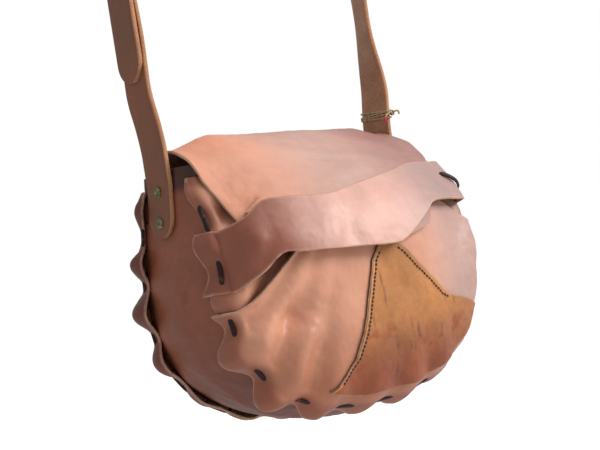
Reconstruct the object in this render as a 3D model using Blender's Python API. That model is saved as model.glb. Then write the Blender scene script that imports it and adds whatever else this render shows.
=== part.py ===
"""A hand-laced leather shoulder bag that hangs from its strap. Metres, +Z up, front towards -Y.

The origin is the middle of the strap's underside at its highest point, where a hook or a shoulder
carries it. The shapes below are worked out in the bag's own frame, z = 0 at the bottom of the seams and
y = 0 midway between them, and place() moves them to hang from the origin.
"""

import math

import bmesh
import bpy
from mathutils import Vector

# Driving dimensions, in metres.
HALF_WIDTH = 0.130  # of the seams at their widest
HALF_WIDTH_TOP = 0.124
WIDEST_Z = 0.110
SEAM_TOP = 0.209
SEAM_POWER = 2.3  # of the superellipse that rounds the bottom
SEAM_Y = 0.062  # front and back seams, each side of the middle
SEAM_RISE = 0.010  # of the front seam's bottom above the back seam's
FRONT_SHIFT = 0.005  # of the front seam to the right of the back seam
SKEW_Y = -0.005  # the gusset is skewed in front of this line, clear of the strap's ends
FRONT_TOP_Y = -0.020
BACK_TOP_Y = 0.050
GUSSET_TOP = 0.222
GUSSET_BULGE = 0.010
GUSSET_BULGE_TOP = 0.0015  # pressed flat behind the riveted strap ends
LEATHER = 0.0022
GAP = 0.0003
LAP = 0.018  # how far a panel's rim laps onto the gusset
LACE_INSET = 0.006  # from a panel's corner to the lace
LACE_WIDTH = 0.0044
LACE_THICK = 0.0014
LACE_START = 0.016  # along the seam from its left top
LACE_STOP = 0.006
STITCHES = 13
STITCH_SHARE = 0.5  # of the pitch that shows outside

STRAP_WIDTH = 0.038
STRAP_THICK = 0.004
STRAP_Y = 0.016
STRAP_X = 0.1345  # of the strap's two upright sides
TAB_BOTTOM = 0.166
TAB_TOP = 0.2155
SWING_Z = 0.236  # the line that the bag swings about under its strap
ARCH_RADIUS = STRAP_X
ARCH_Z = 0.505
ARCH_SPANS = 21  # odd, so that a flat facet lies at the apex

FLAP_ROOT_Y = 0.0565  # the flap's line starts here, just above the back panel
FLAP_ROOT_Z = 0.2183
CREST_Y = 0.012
CREST_Z = 0.250

BUCKLE_Z = 0.425  # of its heel bar
BUCKLE_RISE = 0.044  # from heel bar to top bar
BAR_RADIUS = 0.002
PRONG_RADIUS = 0.0014

# The strap's underside at its apex.
ORIGIN_Z = ARCH_Z + (ARCH_RADIUS - STRAP_THICK / 2) * math.cos(math.pi / 2 / ARCH_SPANS)

# How the layers of the seam stack, measured outwards from the middle of the gusset's leather.
FIRST_LAYER = LEATHER + 2 * GAP
SECOND_LAYER = 2 * FIRST_LAYER
FACE_CLEAR = LEATHER / 2 + 6 * GAP  # of a panel's face ahead of the gusset's cut edge


def material(name, colour, roughness, metallic=0.0):
    made = bpy.data.materials.new(name)
    made.use_nodes = True
    shader = made.node_tree.nodes["Principled BSDF"]
    shader.inputs["Base Color"].default_value = (*colour, 1)
    shader.inputs["Roughness"].default_value = roughness
    shader.inputs["Metallic"].default_value = metallic
    return made


def smooth(t):
    t = min(1.0, max(0.0, t))
    return t * t * (3 - 2 * t)


def lerp(a, b, t):
    return a + (b - a) * t


def straight(t):
    return t


def along(points, t, ease=straight):
    """A value read from (place, value) pairs."""
    if t <= points[0][0]:
        return points[0][1]
    for (t0, v0), (t1, v1) in zip(points, points[1:]):
        if t <= t1:
            return lerp(v0, v1, ease((t - t0) / (t1 - t0)))
    return points[-1][1]


def place(point):
    x, y, z = point
    return (x, y - STRAP_Y, z - ORIGIN_Z)


# ---------------------------------------------------------------- the bag's form


def moved(point, weight=1.0):
    """The front is skewed: it shifts right and rises towards the bottom."""
    x, y, z = point
    lift = SEAM_RISE * max(0.0, 1 - z / WIDEST_Z)
    return (x + FRONT_SHIFT * weight, y, z + lift * weight)


def skew_weight(y, z):
    """How much of the front's skew reaches a point of the gusset: all at its front edge, none at SKEW_Y."""
    level = min(z, SEAM_TOP)
    return min(1.0, max(0.0, (SKEW_Y - y) / (SKEW_Y - front_y(level))))


def half_width(z):
    """Half the width between the seams at this height."""
    if z < WIDEST_Z:
        low = (WIDEST_Z - max(z, 0.0)) / WIDEST_Z
        return HALF_WIDTH * max(0.0, 1 - low**SEAM_POWER) ** (1 / SEAM_POWER)
    high = (z - WIDEST_Z) / (SEAM_TOP - WIDEST_Z)
    return HALF_WIDTH - (HALF_WIDTH - HALF_WIDTH_TOP) * high * high


def above_widest(z):
    high = max(0.0, z - WIDEST_Z) / (SEAM_TOP - WIDEST_Z)
    return high * high


def front_y(z):
    return lerp(-SEAM_Y, FRONT_TOP_Y, above_widest(z))


def back_y(z):
    return lerp(SEAM_Y, BACK_TOP_Y, above_widest(z))


def profile_points(top):
    """The seams' outline in X and Z, from the left top round the bottom to the right top."""
    steps = 200
    left = []
    for i in range(steps):
        z = lerp(top, WIDEST_Z, i / steps)
        left.append((-half_width(z), z))
    for i in range(steps + 1):
        angle = math.pi / 2 * i / steps
        x = HALF_WIDTH * math.cos(angle) ** (2 / SEAM_POWER)
        z = WIDEST_Z - WIDEST_Z * math.sin(angle) ** (2 / SEAM_POWER)
        left.append((-x, z))
    return left + [(-x, z) for x, z in reversed(left[:-1])]


class Profile:
    """The outline read by distance along it."""

    def __init__(self, top):
        self.points = profile_points(top)
        self.marks = [0.0]
        for a, b in zip(self.points, self.points[1:]):
            self.marks.append(self.marks[-1] + math.dist(a, b))
        self.length = self.marks[-1]

    def at(self, distance):
        """(x, z, outward normal x, outward normal z)"""
        distance = min(max(distance, 0.0), self.length)
        i = 1
        while self.marks[i] < distance and i < len(self.marks) - 1:
            i += 1
        t = (distance - self.marks[i - 1]) / (self.marks[i] - self.marks[i - 1])
        a, b = self.points[i - 1], self.points[i]
        lo, hi = self.points[max(0, i - 6)], self.points[min(len(self.points) - 1, i + 5)]
        tangent = Vector((hi[0] - lo[0], hi[1] - lo[1])).normalized()
        return lerp(a[0], b[0], t), lerp(a[1], b[1], t), tangent.y, -tangent.x


SEAM = Profile(SEAM_TOP)
GUSSET_LINE = Profile(GUSSET_TOP)
GUSSET_LEAD = (GUSSET_LINE.length - SEAM.length) / 2
SPANS = 26  # every layer along the seam shares its stations, so their facets lie parallel


def station(i):
    return SEAM.length * i / SPANS


def fullness(x, z):
    """0 at the seams and 1 deep inside them: how far a filled panel stands out."""
    across = abs(x) / half_width(max(z, WIDEST_Z))
    below = max(0.0, WIDEST_Z - z) / WIDEST_Z
    inside = 1 - across**SEAM_POWER - below**SEAM_POWER
    return max(0.0, inside) ** 0.62


def panel_y(x, z):
    """The main front panel, slack behind the pocket."""
    return front_y(z) - FACE_CLEAR - 0.006 * fullness(x, z)


def pocket_y(x, z):
    """The outer panel, filled out."""
    upper = smooth((z - 0.11) / 0.06)
    return front_y(z) - FACE_CLEAR - FIRST_LAYER - (0.022 + 0.006 * upper) * fullness(x, z)


def flap_lower_y(x, z):
    """The tucked part of the flap lies on the pocket."""
    return pocket_y(x, z) - 0.0065


def band_y(x, z):
    return pocket_y(x, z) - 0.0105


def back_panel_y(x, z):
    return back_y(z) + FACE_CLEAR + 0.008 * fullness(x, z)


# ---------------------------------------------------------------- mesh tools


def add_object(name, mesh, finish):
    made = bpy.data.objects.new(name, mesh)
    bpy.context.scene.collection.objects.link(made)
    mesh.materials.append(finish)
    return made


def shade(mesh):
    mesh.shade_smooth()
    mesh.set_sharp_from_angle(angle=math.radians(40))


def grid_mesh(name, rows):
    """A quad sheet through rows of points."""
    mesh = bpy.data.meshes.new(name)
    bm = bmesh.new()
    verts = [[bm.verts.new(place(p)) for p in row] for row in rows]
    for upper, lower in zip(verts, verts[1:]):
        for i in range(len(upper) - 1):
            bm.faces.new((upper[i], upper[i + 1], lower[i + 1], lower[i]))
    bmesh.ops.recalc_face_normals(bm, faces=bm.faces)
    bm.to_mesh(mesh)
    bm.free()
    return mesh


def leather_sheet(name, rows, finish, thick=LEATHER):
    """A sheet of leather: the grid is the middle of its thickness."""
    mesh = grid_mesh(name, rows)
    made = add_object(name, mesh, finish)
    solid = made.modifiers.new("thickness", "SOLIDIFY")
    solid.thickness = thick
    solid.offset = 0
    solid.use_even_offset = False
    solid.use_quality_normals = True
    shade(mesh)
    return made


def box_loop(centre, wide, thick_dir, width, thick):
    centre, wide, thick_dir = Vector(centre), Vector(wide).normalized(), Vector(thick_dir).normalized()
    corners = ((-1, -1), (1, -1), (1, 1), (-1, 1))
    return [centre + wide * (a * width / 2) + thick_dir * (b * thick / 2) for a, b in corners]


def loops_to_mesh(name, loops, closed=False):
    """Bridges equal loops of points into a tube, capped at its ends unless it closes on itself."""
    bm = bmesh.new()
    add_tube(bm, loops, closed)
    return mesh_of(name, bm)


def mesh_of(name, bm):
    """Closes a bmesh into a mesh with its faces pointing out."""
    mesh = bpy.data.meshes.new(name)
    bmesh.ops.recalc_face_normals(bm, faces=bm.faces)
    bm.to_mesh(mesh)
    bm.free()
    return mesh


def add_cutter(name, mesh):
    made = bpy.data.objects.new(name, mesh)
    bpy.context.scene.collection.objects.link(made)
    return made


def add_tube(bm, loops, closed=False):
    verts = [[bm.verts.new(place(p)) for p in loop] for loop in loops]
    pairs = list(zip(verts, verts[1:]))
    if closed:
        pairs.append((verts[-1], verts[0]))
    for a, b in pairs:
        count = len(a)
        for i in range(count):
            bm.faces.new((a[i], a[(i + 1) % count], b[(i + 1) % count], b[i]))
    if not closed:
        bm.faces.new(list(reversed(verts[0])))
        bm.faces.new(verts[-1])


def ring(centre, axis, radius, sides):
    """A circle of points about an axis."""
    axis = Vector(axis).normalized()
    helper = Vector((0, 0, 1)) if abs(axis.z) < 0.9 else Vector((0, 1, 0))
    u = axis.cross(helper).normalized()
    v = axis.cross(u)
    centre = Vector(centre)
    points = []
    for i in range(sides):
        angle = math.tau * i / sides
        points.append(centre + u * (radius * math.cos(angle)) + v * (radius * math.sin(angle)))
    return points


def turned(name, centre, axis, outline, sides=10):
    """A closed turned body: outline is (distance along the axis, radius) from end to end."""
    centre, axis = Vector(centre), Vector(axis).normalized()
    return loops_to_mesh(name, [ring(centre + axis * d, axis, r, sides) for d, r in outline])


def cut(target, cutter):
    """Takes the cutter out of the target with a Boolean, and keeps the cutter out of the part."""
    cutter.hide_render = True
    cutter.display_type = "WIRE"
    boolean = target.modifiers.new("cut_" + cutter.name, "BOOLEAN")
    boolean.operation = "DIFFERENCE"
    boolean.solver = "EXACT"
    boolean.object = cutter


# ---------------------------------------------------------------- gusset and panels


def bulge(z):
    """How far the gusset's middle stands out of the seams."""
    return lerp(GUSSET_BULGE, GUSSET_BULGE_TOP, smooth((z - 0.120) / 0.045))


def gusset_point(distance, share):
    """A point of the gusset's middle surface: share runs from -1 at the front edge to 1 at the back."""
    x, z, nx, nz = GUSSET_LINE.at(distance)
    level = min(z, SEAM_TOP)
    middle = (front_y(level) + back_y(level)) / 2
    half = (back_y(level) - front_y(level)) / 2
    out = bulge(level) * (1 - share * share)
    y = middle + share * half
    return moved((x + nx * out, y, z + nz * out), skew_weight(y, z))


def gusset_shares(distance):
    """Where the columns stand across the gusset: one of them always lies on SKEW_Y."""
    level = min(GUSSET_LINE.at(distance)[1], SEAM_TOP)
    half = (back_y(level) - front_y(level)) / 2
    turn = (SKEW_Y - front_y(level)) / half - 1
    ahead = [lerp(-1, turn, t) for t in (0, 0.2, 0.55, 1)]
    return ahead + [lerp(turn, 1, t) for t in (0.25, 0.55, 0.85, 1)]


def make_gusset(finish):
    distances = [0.0] + [GUSSET_LEAD + station(i) for i in range(SPANS + 1)] + [GUSSET_LINE.length]
    rows = [[gusset_point(distance, share) for share in gusset_shares(distance)] for distance in distances]
    return leather_sheet("gusset", rows, finish)


def gusset_share(z, inset):
    """Where a point comes across the gusset, at an inset from one of its edges: 1 at that edge."""
    level = min(z, SEAM_TOP)
    half = (back_y(level) - front_y(level)) / 2
    return 1 - inset / half


def rim_base(distance, inset, side):
    """A point of the gusset beside a seam: side is -1 at the front and 1 at the back."""
    x, z, nx, nz = SEAM.at(distance)
    edge = front_y(z) if side < 0 else back_y(z)
    share = gusset_share(z, max(inset, 0.0))
    out = bulge(z) * (1 - share * share)
    y = edge - side * inset
    return Vector(moved((x + nx * out, y, z + nz * out), skew_weight(y, z)))


def rim_normal(distance, inset, side):
    """The gusset's outward direction there."""
    step = 0.001
    near = max(inset, 0.0)
    along_seam = rim_base(distance + step, near, side) - rim_base(distance - step, near, side)
    across = rim_base(distance, near + step, side) - rim_base(distance, near, side)
    return along_seam.cross(across).normalized() * side


def rim_point(distance, inset, layer, side):
    """A point at the middle of a layer that lies on the gusset."""
    return rim_base(distance, inset, side) + rim_normal(distance, inset, side) * layer


def seam_distance(z, right=False):
    """Where along the seam a height comes, on its left or right side."""
    best = min(range(len(SEAM.points) // 2), key=lambda i: abs(SEAM.points[i][1] - z))
    return SEAM.length - SEAM.marks[best] if right else SEAM.marks[best]


def panel_rows(first, last, layer, side, surface, mouth, lap):
    """Rows of a D-shaped panel, each from its rim, over its corner and across its face to the mouth.

    The rows stand at the seam's stations from first to last. surface(x, z) gives the face, mouth(share)
    the point (x, z) that a row ends at, and lap(z) how far the rim reaches over the gusset.
    """
    rows = []
    for i in range(first, last + 1):
        share = (i - first) / (last - first)
        distance = station(i)
        x, z, _, _ = SEAM.at(distance)
        row = [rim_point(distance, inset, layer, side) for inset in (lap(z), LACE_INSET, 0.001)]
        corner = rim_point(distance, 0.0, layer, side)
        row.append((corner.x, surface(x, z), corner.z))
        weight = (1 - side) / 2
        mouth_x, mouth_z = mouth(share)
        for inward in (0.07, 0.2, 0.4, 0.65, 1.0):
            px = lerp(x, mouth_x, inward)
            pz = lerp(z, mouth_z, inward)
            row.append(moved((px, surface(px, pz), pz), weight))
        rows.append(row)
    return rows


def panel_mouth(share):
    return lerp(-0.080, 0.080, share), 0.203 - 0.006 * math.sin(math.pi * share)


POCKET_FIRST = 5  # the stations that the pocket's rim runs between
POCKET_LAST = 23


def pocket_top(x):
    """The pocket's slanting raw top edge."""
    return along([(-0.132, 0.100), (-0.099, 0.136), (-0.030, 0.160), (0.060, 0.168), (0.132, 0.160)], x)


def pocket_mouth(share):
    x = lerp(-0.075, 0.085, share)
    return x, pocket_top(x)


def back_mouth(share):
    return lerp(-0.085, 0.085, share), 0.2165


def front_lap(z):
    """Narrower near the top, beside the strap's ends."""
    return lerp(LAP - 0.004, 0.009, smooth((z - 0.120) / 0.080))


def pocket_lap(z):
    return LAP


def back_lap(z):
    """Narrower near the top, beside the strap's ends."""
    return lerp(LAP, 0.009, smooth((z - 0.120) / 0.040))


def make_panels(finish):
    front_rows = panel_rows(0, SPANS, FIRST_LAYER, -1, panel_y, panel_mouth, front_lap)
    pocket_rows = panel_rows(
        POCKET_FIRST, POCKET_LAST, SECOND_LAYER, -1, pocket_y, pocket_mouth, pocket_lap
    )
    back_rows = panel_rows(0, SPANS, FIRST_LAYER, 1, back_panel_y, back_mouth, back_lap)
    front = leather_sheet("front_panel", front_rows, finish)
    pocket = leather_sheet("front_pocket", pocket_rows, finish)
    back = leather_sheet("back_panel", back_rows, finish)
    return front, pocket, back


# ---------------------------------------------------------------- patch and its thread

def patch_left(z):
    """The left edge of the patch: a long curve from its peak down to the bottom seam."""
    return along([(0.011, -0.062), (0.035, -0.041), (0.059, -0.031), (0.119, -0.013), (0.136, 0.001)], z)


def patch_right(z):
    """The right edge, from the peak down to a dip near the right seam."""
    return along([(0.070, 0.085), (0.077, 0.072), (0.098, 0.054), (0.126, 0.027), (0.136, 0.013)], z)


def seam_inset_x(z, inset):
    return half_width(max(z, 0.004)) - inset


def make_patch(finish):
    heights = (0.011, 0.022, 0.036, 0.052, 0.066, 0.071, 0.083, 0.098, 0.114, 0.128)
    rows = []
    for z in heights:
        left = max(patch_left(z), -seam_inset_x(z, 0.012))
        right = min(patch_right(z) if z > 0.070 else 1.0, seam_inset_x(z, 0.010))
        row = []
        for i in range(9):
            x = lerp(left, right, i / 8)
            row.append(moved((x, pocket_y(x, z) - LEATHER - 3 * GAP, z)))
        rows.append(row)
    return leather_sheet("front_patch", rows, finish, 0.0018)


THREAD_RADIUS = 0.0005
THREAD_INSET = 0.005


def make_thread(name, path, finish):
    """One row of the stitching that holds the patch, as a cord just proud of it."""
    lift = LEATHER + 0.0009 + 3 * GAP + 1.6 * THREAD_RADIUS
    points = [Vector(moved((x, pocket_y(x, z) - lift, z))) for x, z in path]
    loops = []
    for i, point in enumerate(points):
        tangent = points[min(i + 1, len(points) - 1)] - points[max(i - 1, 0)]
        loops.append(ring_about(point, tangent, Vector((0, 1, 0)), THREAD_RADIUS, 5))
    return add_object(name, loops_to_mesh(name, loops), finish)


def thread_paths():
    """The rows beside the patch's left and right edges, as (x, z)."""
    left = [(patch_left(z) + THREAD_INSET, z) for z in [0.018 + 0.0090 * i for i in range(12)]]
    right = [(patch_right(z) - THREAD_INSET, z) for z in [0.075 + 0.0060 * i for i in range(8)]]
    return left, right


# ---------------------------------------------------------------- closure band


BAND_RIGHT_LAP = 0.012  # short of the strap's right end


def band_bottom(x):
    heights = [(-0.130, 0.112), (-0.104, 0.136), (0.013, 0.130), (0.032, 0.140), (0.068, 0.164), (0.130, 0.162)]
    return along(heights, x)


def band_top(x):
    heights = [(-0.131, 0.160), (-0.099, 0.182), (-0.041, 0.179), (0.045, 0.196), (0.068, 0.202), (0.130, 0.202)]
    return along(heights, x)


def band_column(x, across):
    low, high = band_bottom(x), band_top(x)
    column = []
    for share in across:
        z = lerp(low, high, share)
        column.append(moved((x, band_y(x, z), z)))
    return column


def band_end(right, inset, across):
    """The band's end lies on the seam, over the front panel's rim."""
    side = 1 if right else -1
    low, high = band_bottom(side * 0.13), band_top(side * 0.13)
    column = []
    for share in across:
        z = lerp(low, high, share)
        column.append(rim_point(seam_distance(z, right), inset, SECOND_LAYER, -1))
    return column


def make_band(finish):
    across = (0, 0.25, 0.5, 0.75, 1)
    rows = [band_end(False, inset, across) for inset in (LAP, LACE_INSET, 0.0, -0.0045)]
    count = 17
    for i in range(count):
        rows.append(band_column(lerp(-0.122, 0.119, i / (count - 1)), across))
    rows += [band_end(True, inset, across) for inset in (-0.0045, 0.0, LACE_INSET, BAND_RIGHT_LAP)]
    return leather_sheet("closure_band", rows, finish, 0.002)


# ---------------------------------------------------------------- lace


def stitch_pitch():
    return (SEAM.length - LACE_START - LACE_STOP) / STITCHES


def lace_level(distance, side):
    """How far out the lace runs: over every layer that lies on the gusset there."""
    if side > 0:
        outer = FIRST_LAYER
    else:
        outer = SECOND_LAYER
    return outer + LEATHER / 2 + 2 * GAP + LACE_THICK / 2


def lace_stations(side):
    """(distance, level) corners of the running stitch, outside over each stitch and inside between."""
    inner = -(LEATHER / 2 + 4 * GAP + LACE_THICK / 2)
    pitch = stitch_pitch()
    stations = []
    for i in range(STITCHES):
        start = LACE_START + pitch * (i + (1 - STITCH_SHARE) / 2)
        end = start + pitch * STITCH_SHARE
        level = lace_level((start + end) / 2, side)
        stations += [(start, inner), (start, level), ((start + end) / 2, level), (end, level), (end, inner)]
    return stations


def lace_point(distance, level, side):
    return Vector(rim_point(distance, LACE_INSET, level, side))


def lace_across(distance, side):
    """The direction of the lace's width, which lies along the rim."""
    deep = Vector(rim_point(distance, LACE_INSET + 0.002, 0, side))
    shallow = Vector(rim_point(distance, LACE_INSET - 0.002, 0, side))
    return (deep - shallow).normalized() * -side


def make_lace(name, side, finish):
    """A flat thong: its width lies across the seam, and it turns square corners at each hole."""
    stations = lace_stations(side)
    points = [lace_point(d, level, side) for d, level in stations]
    loops = []
    for i, point in enumerate(points):
        before = (point - points[i - 1]).normalized() if i else None
        after = (points[i + 1] - point).normalized() if i + 1 < len(points) else None
        into = before or after
        out = after or before
        across = lace_across(stations[i][0], side)
        normal = (into.cross(across) + out.cross(across))
        bend = into.cross(across).angle(out.cross(across)) / 2
        stretch = 1 / max(0.5, math.cos(bend))
        loops.append(box_loop(point, across, normal, LACE_WIDTH, LACE_THICK * stretch))
    return add_object(name, loops_to_mesh(name, loops), finish)


def make_slots(name, side):
    """The slots that the lace passes, one block at each."""
    clear = 0.0004
    reach = 0.012
    bm = bmesh.new()
    for distance, level in lace_stations(side)[1::5] + lace_stations(side)[3::5]:
        middle = lace_point(distance, level * 0.5, side)
        outward = (lace_point(distance, level, side) - middle).normalized()
        across = lace_across(distance, side)
        tangent = outward.cross(across)
        loops = []
        for end in (-reach / 2, reach):
            centre = middle + outward * end
            loops.append(
                box_loop(centre, across, tangent, LACE_WIDTH + 2 * clear, LACE_THICK + 2 * clear)
            )
        add_tube(bm, loops)
    return add_cutter(name, mesh_of(name, bm))


# ---------------------------------------------------------------- flap


def flap_left(share):
    return along([(0, -0.112), (0.25, -0.1195), (0.4, -0.1215), (0.6, -0.117), (1, -0.090)], share)


def flap_right(share):
    return along([(0, 0.110), (0.25, 0.1215), (0.33, 0.116), (0.55, 0.116), (0.7, 0.100), (1, 0.058)], share)


def catmull(points, t):
    """A smooth curve through every point, t from 0 to 1."""
    spans = len(points) - 1
    i = min(int(t * spans), spans - 1)
    u = t * spans - i
    a, b, c, d = (Vector(points[min(max(k, 0), spans)]) for k in (i - 1, i, i + 1, i + 2))
    return 0.5 * (2 * b + (c - a) * u + (2 * a - 5 * b + 4 * c - d) * u**2 + (3 * b - a - 3 * c + d) * u**3)


def flap_section(x):
    """The flap's line at this x, in Y and Z, from its fold over the crest and down under the band."""
    foot_z = along([(-0.09, 0.142), (0.018, 0.131), (0.059, 0.144), (0.080, 0.165)], x)
    tuck_z = band_top(x) + 0.004
    tucked = [(flap_lower_y(x, lerp(tuck_z, foot_z, t)), lerp(tuck_z, foot_z, t)) for t in (0, 0.3, 0.65, 1)]
    return [
        (FLAP_ROOT_Y, FLAP_ROOT_Z),
        (0.042, 0.238),
        (CREST_Y, CREST_Z),
        (-0.020, 0.236),
        (lerp(-0.020, tucked[0][0], 0.55), lerp(0.236, tuck_z, 0.5)),
        *tucked,
    ]


def make_flap(finish):
    columns = 13
    steps = 17
    rows = []
    for j in range(steps):
        share = j / (steps - 1)
        row = []
        for i in range(columns):
            x = lerp(flap_left(share), flap_right(share), i / (columns - 1))
            y, z = catmull(flap_section(x), share)
            row.append(moved((x, y, z), smooth((CREST_Y - y) / 0.055)))
        rows.append(row)
    return leather_sheet("flap", rows, finish)


# ---------------------------------------------------------------- strap ends and rivets


def tab_x(z):
    """The middle of the riveted strap end, which follows the gusset."""
    level = min(z, SEAM_TOP)
    return half_width(level) + bulge(level) + LEATHER / 2 + 2 * GAP + STRAP_THICK / 2


def make_strap_end(name, side, finish):
    """The riveted end of the strap, rounded at its foot and lying along the gusset."""
    radius = STRAP_WIDTH / 2
    sections = []
    for i in range(1, 6):
        angle = math.pi / 2 * i / 6
        sections.append((TAB_BOTTOM + radius * (1 - math.cos(angle)), STRAP_WIDTH * math.sin(angle)))
    for i in range(4):
        sections.append((lerp(TAB_BOTTOM + radius, TAB_TOP, i / 3), STRAP_WIDTH))
    loops = [strap_loop((side * tab_x(z), STRAP_Y, z), (side, 0, 0), width) for z, width in sections]
    return add_object(name, loops_to_mesh(name, loops), finish)


RIVET_HEIGHTS = (0.179, 0.205)
RIVET_CAP = 0.0048
RIVET_POST = 0.0016


def make_rivet(name, side, z, finish):
    """A double-cap rivet: a domed cap, a post through the layers and a flat back cap."""
    cap = RIVET_CAP
    post = RIVET_POST
    inner = tab_x(z) - STRAP_THICK / 2 - LEATHER - 5 * GAP
    outer = tab_x(z) + STRAP_THICK / 2 + 2 * GAP
    outline = [
        (inner - 0.0012, cap * 0.75),
        (inner - 0.0003, cap * 0.85),
        (inner - 0.00029, post),
        (outer + 0.00029, post),
        (outer + 0.0003, cap),
        (outer + 0.0010, cap),
        (outer + 0.0018, cap * 0.72),
        (outer + 0.0021, cap * 0.3),
    ]
    return add_object(name, turned(name, (0, STRAP_Y, z), (side, 0, 0), outline), finish)


def make_rivet_holes(name, x_from, x_to, heights, radius=RIVET_POST + 0.0003):
    """A drill through the leather on both sides of the bag, or on one."""
    bm = bmesh.new()
    for z in heights:
        loops = [ring((x, STRAP_Y, z), (1, 0, 0), radius, 12) for x in (x_from, x_to)]
        add_tube(bm, loops)
    return add_cutter(name, mesh_of(name, bm))


# ---------------------------------------------------------------- strap


def strap_side_x(z):
    return lerp(tab_x(TAB_TOP), STRAP_X, smooth((z - SWING_Z) / 0.06))


def strap_foot(side):
    """Half-round foot of the strap about the swing line: loops of a plate, then the straight run."""
    radius = STRAP_WIDTH / 2
    loops = []
    for i in range(1, 6):
        angle = math.pi / 2 * i / 6
        z = SWING_Z - radius * math.cos(angle)
        loops.append((side * strap_side_x(z), z, 2 * radius * math.sin(angle)))
    return loops


def strap_loop(centre, outward, width, thick=STRAP_THICK):
    return box_loop(centre, (0, 1, 0), outward, width, thick)


def upright_run(side, z_from, z_to, steps):
    loops = []
    for i in range(steps + 1):
        z = lerp(z_from, z_to, i / steps)
        loops.append(strap_loop((side * strap_side_x(z), STRAP_Y, z), (side, 0, 0), STRAP_WIDTH))
    return loops


def foot_loops(side):
    made = []
    for x, z, width in strap_foot(side):
        made.append(strap_loop((x, STRAP_Y, z), (side, 0, 0), width))
    return made


def billet_offset(z):
    """How far the long strap's free end stands outside the short strap."""
    return along(
        [
            (0.300, 0.0043),
            (0.385, 0.0043),
            (BUCKLE_Z - 0.004, 0.0088),
            (BUCKLE_Z + BUCKLE_RISE, 0.0047),
            (BUCKLE_Z + 0.068, 0.0),
        ],
        z,
        smooth,
    )


BILLET_TIP = 0.300


def make_strap_long(finish):
    """From the right foot over the arch, through the buckle, to the rounded end of the billet."""
    loops = foot_loops(1) + upright_run(1, SWING_Z, ARCH_Z, 8)[:-1]
    for i in range(ARCH_SPANS + 1):
        angle = math.pi * i / ARCH_SPANS
        outward = (math.cos(angle), 0, math.sin(angle))
        centre = (ARCH_RADIUS * outward[0], STRAP_Y, ARCH_Z + ARCH_RADIUS * outward[2])
        loops.append(strap_loop(centre, outward, STRAP_WIDTH))
    steps = 18
    tip = STRAP_WIDTH / 2
    for i in range(1, steps + 1):
        z = lerp(ARCH_Z, BILLET_TIP + tip, i / steps)
        x = -STRAP_X - billet_offset(z)
        loops.append(strap_loop((x, STRAP_Y, z), (-1, 0, 0), STRAP_WIDTH))
    for i in range(1, 6):
        angle = math.pi / 2 * i / 6
        z = BILLET_TIP + tip - tip * math.sin(angle)
        x = -STRAP_X - billet_offset(z)
        loops.append(strap_loop((x, STRAP_Y, z), (-1, 0, 0), STRAP_WIDTH * math.cos(angle)))
    return add_object("strap_long", loops_to_mesh("strap_long", loops), finish)


CHAPE_THICK = 0.0032
FOLD_RADIUS = BAR_RADIUS + 2 * GAP + CHAPE_THICK / 2
CHAPE_END = 0.372


def chape_path():
    """(outward offset, height) of the short strap's fold round the heel bar and back down inside."""
    path = []
    for i in range(1, 5):
        t = i / 5
        path.append((lerp(0, FOLD_RADIUS, smooth(t)), lerp(0.380, BUCKLE_Z, t)))
    for i in range(9):
        angle = math.pi * i / 8
        path.append((FOLD_RADIUS * math.cos(angle), BUCKLE_Z + FOLD_RADIUS * math.sin(angle)))
    for i in range(1, 6):
        t = i / 5
        path.append((lerp(-FOLD_RADIUS, -CHAPE_THICK - GAP, smooth(t)), lerp(BUCKLE_Z, CHAPE_END, t)))
    return path


def make_strap_short(finish):
    """From its foot up to the buckle's heel bar, folded round it and riveted down inside."""
    loops = foot_loops(-1)
    for i in range(8):
        z = lerp(SWING_Z, 0.380, i / 7)
        thick = lerp(STRAP_THICK, CHAPE_THICK, smooth((z - 0.30) / 0.07))
        loops.append(strap_loop((-strap_side_x(z), STRAP_Y, z), (-1, 0, 0), STRAP_WIDTH, thick))
    path = chape_path()
    for i, (offset, z) in enumerate(path):
        before = path[i - 1] if i else (0, 0.370)
        after = path[i + 1] if i + 1 < len(path) else (path[i][0], path[i][1] - 0.01)
        tangent = Vector((-(after[0] - before[0]), 0, after[1] - before[1])).normalized()
        outward = tangent.cross(Vector((0, 1, 0)))
        centre = (-STRAP_X - offset, STRAP_Y, z)
        loops.append(strap_loop(centre, outward, STRAP_WIDTH, CHAPE_THICK))
    return add_object("strap_short", loops_to_mesh("strap_short", loops), finish)


# ---------------------------------------------------------------- buckle, keeper, twine


TOP_BAR_OFFSET = 0.0094


def buckle_point(offset, y, z):
    return Vector((-STRAP_X - offset, STRAP_Y + y, z))


def make_buckle_frame(finish):
    """A rounded oblong of round bar, tilted so that its top bar lies over the strap."""
    half = STRAP_WIDTH / 2 + 0.0045
    corner = 0.006
    corners = []
    for sign_y, sign_z, start in ((1, 1, 0), (-1, 1, 90), (-1, -1, 180), (1, -1, 270)):
        for i in range(4):
            angle = math.radians(start + 30 * i)
            y = sign_y * (half - corner) + corner * math.cos(angle)
            z = sign_z * (BUCKLE_RISE / 2 - corner) + corner * math.sin(angle)
            corners.append((y, z))
    points = []
    for y, z in corners:
        height = z + BUCKLE_RISE / 2
        points.append(buckle_point(TOP_BAR_OFFSET * height / BUCKLE_RISE, y, BUCKLE_Z + height))
    loops = []
    for i, point in enumerate(points):
        tangent = points[(i + 1) % len(points)] - points[i - 1]
        loops.append(ring_about(point, tangent, Vector((-1, 0, 0.2)), BAR_RADIUS, 8))
    return add_object("buckle_frame", loops_to_mesh("buckle_frame", loops, closed=True), finish)


def ring_about(centre, tangent, up, radius, sides):
    """A circle across a path, started from a fixed direction so that neighbours line up."""
    tangent = tangent.normalized()
    side = tangent.cross(up).normalized()
    up = side.cross(tangent)
    points = []
    for i in range(sides):
        angle = math.tau * (i + 0.5) / sides
        points.append(centre + side * (radius * math.cos(angle)) + up * (radius * math.sin(angle)))
    return points


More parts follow.
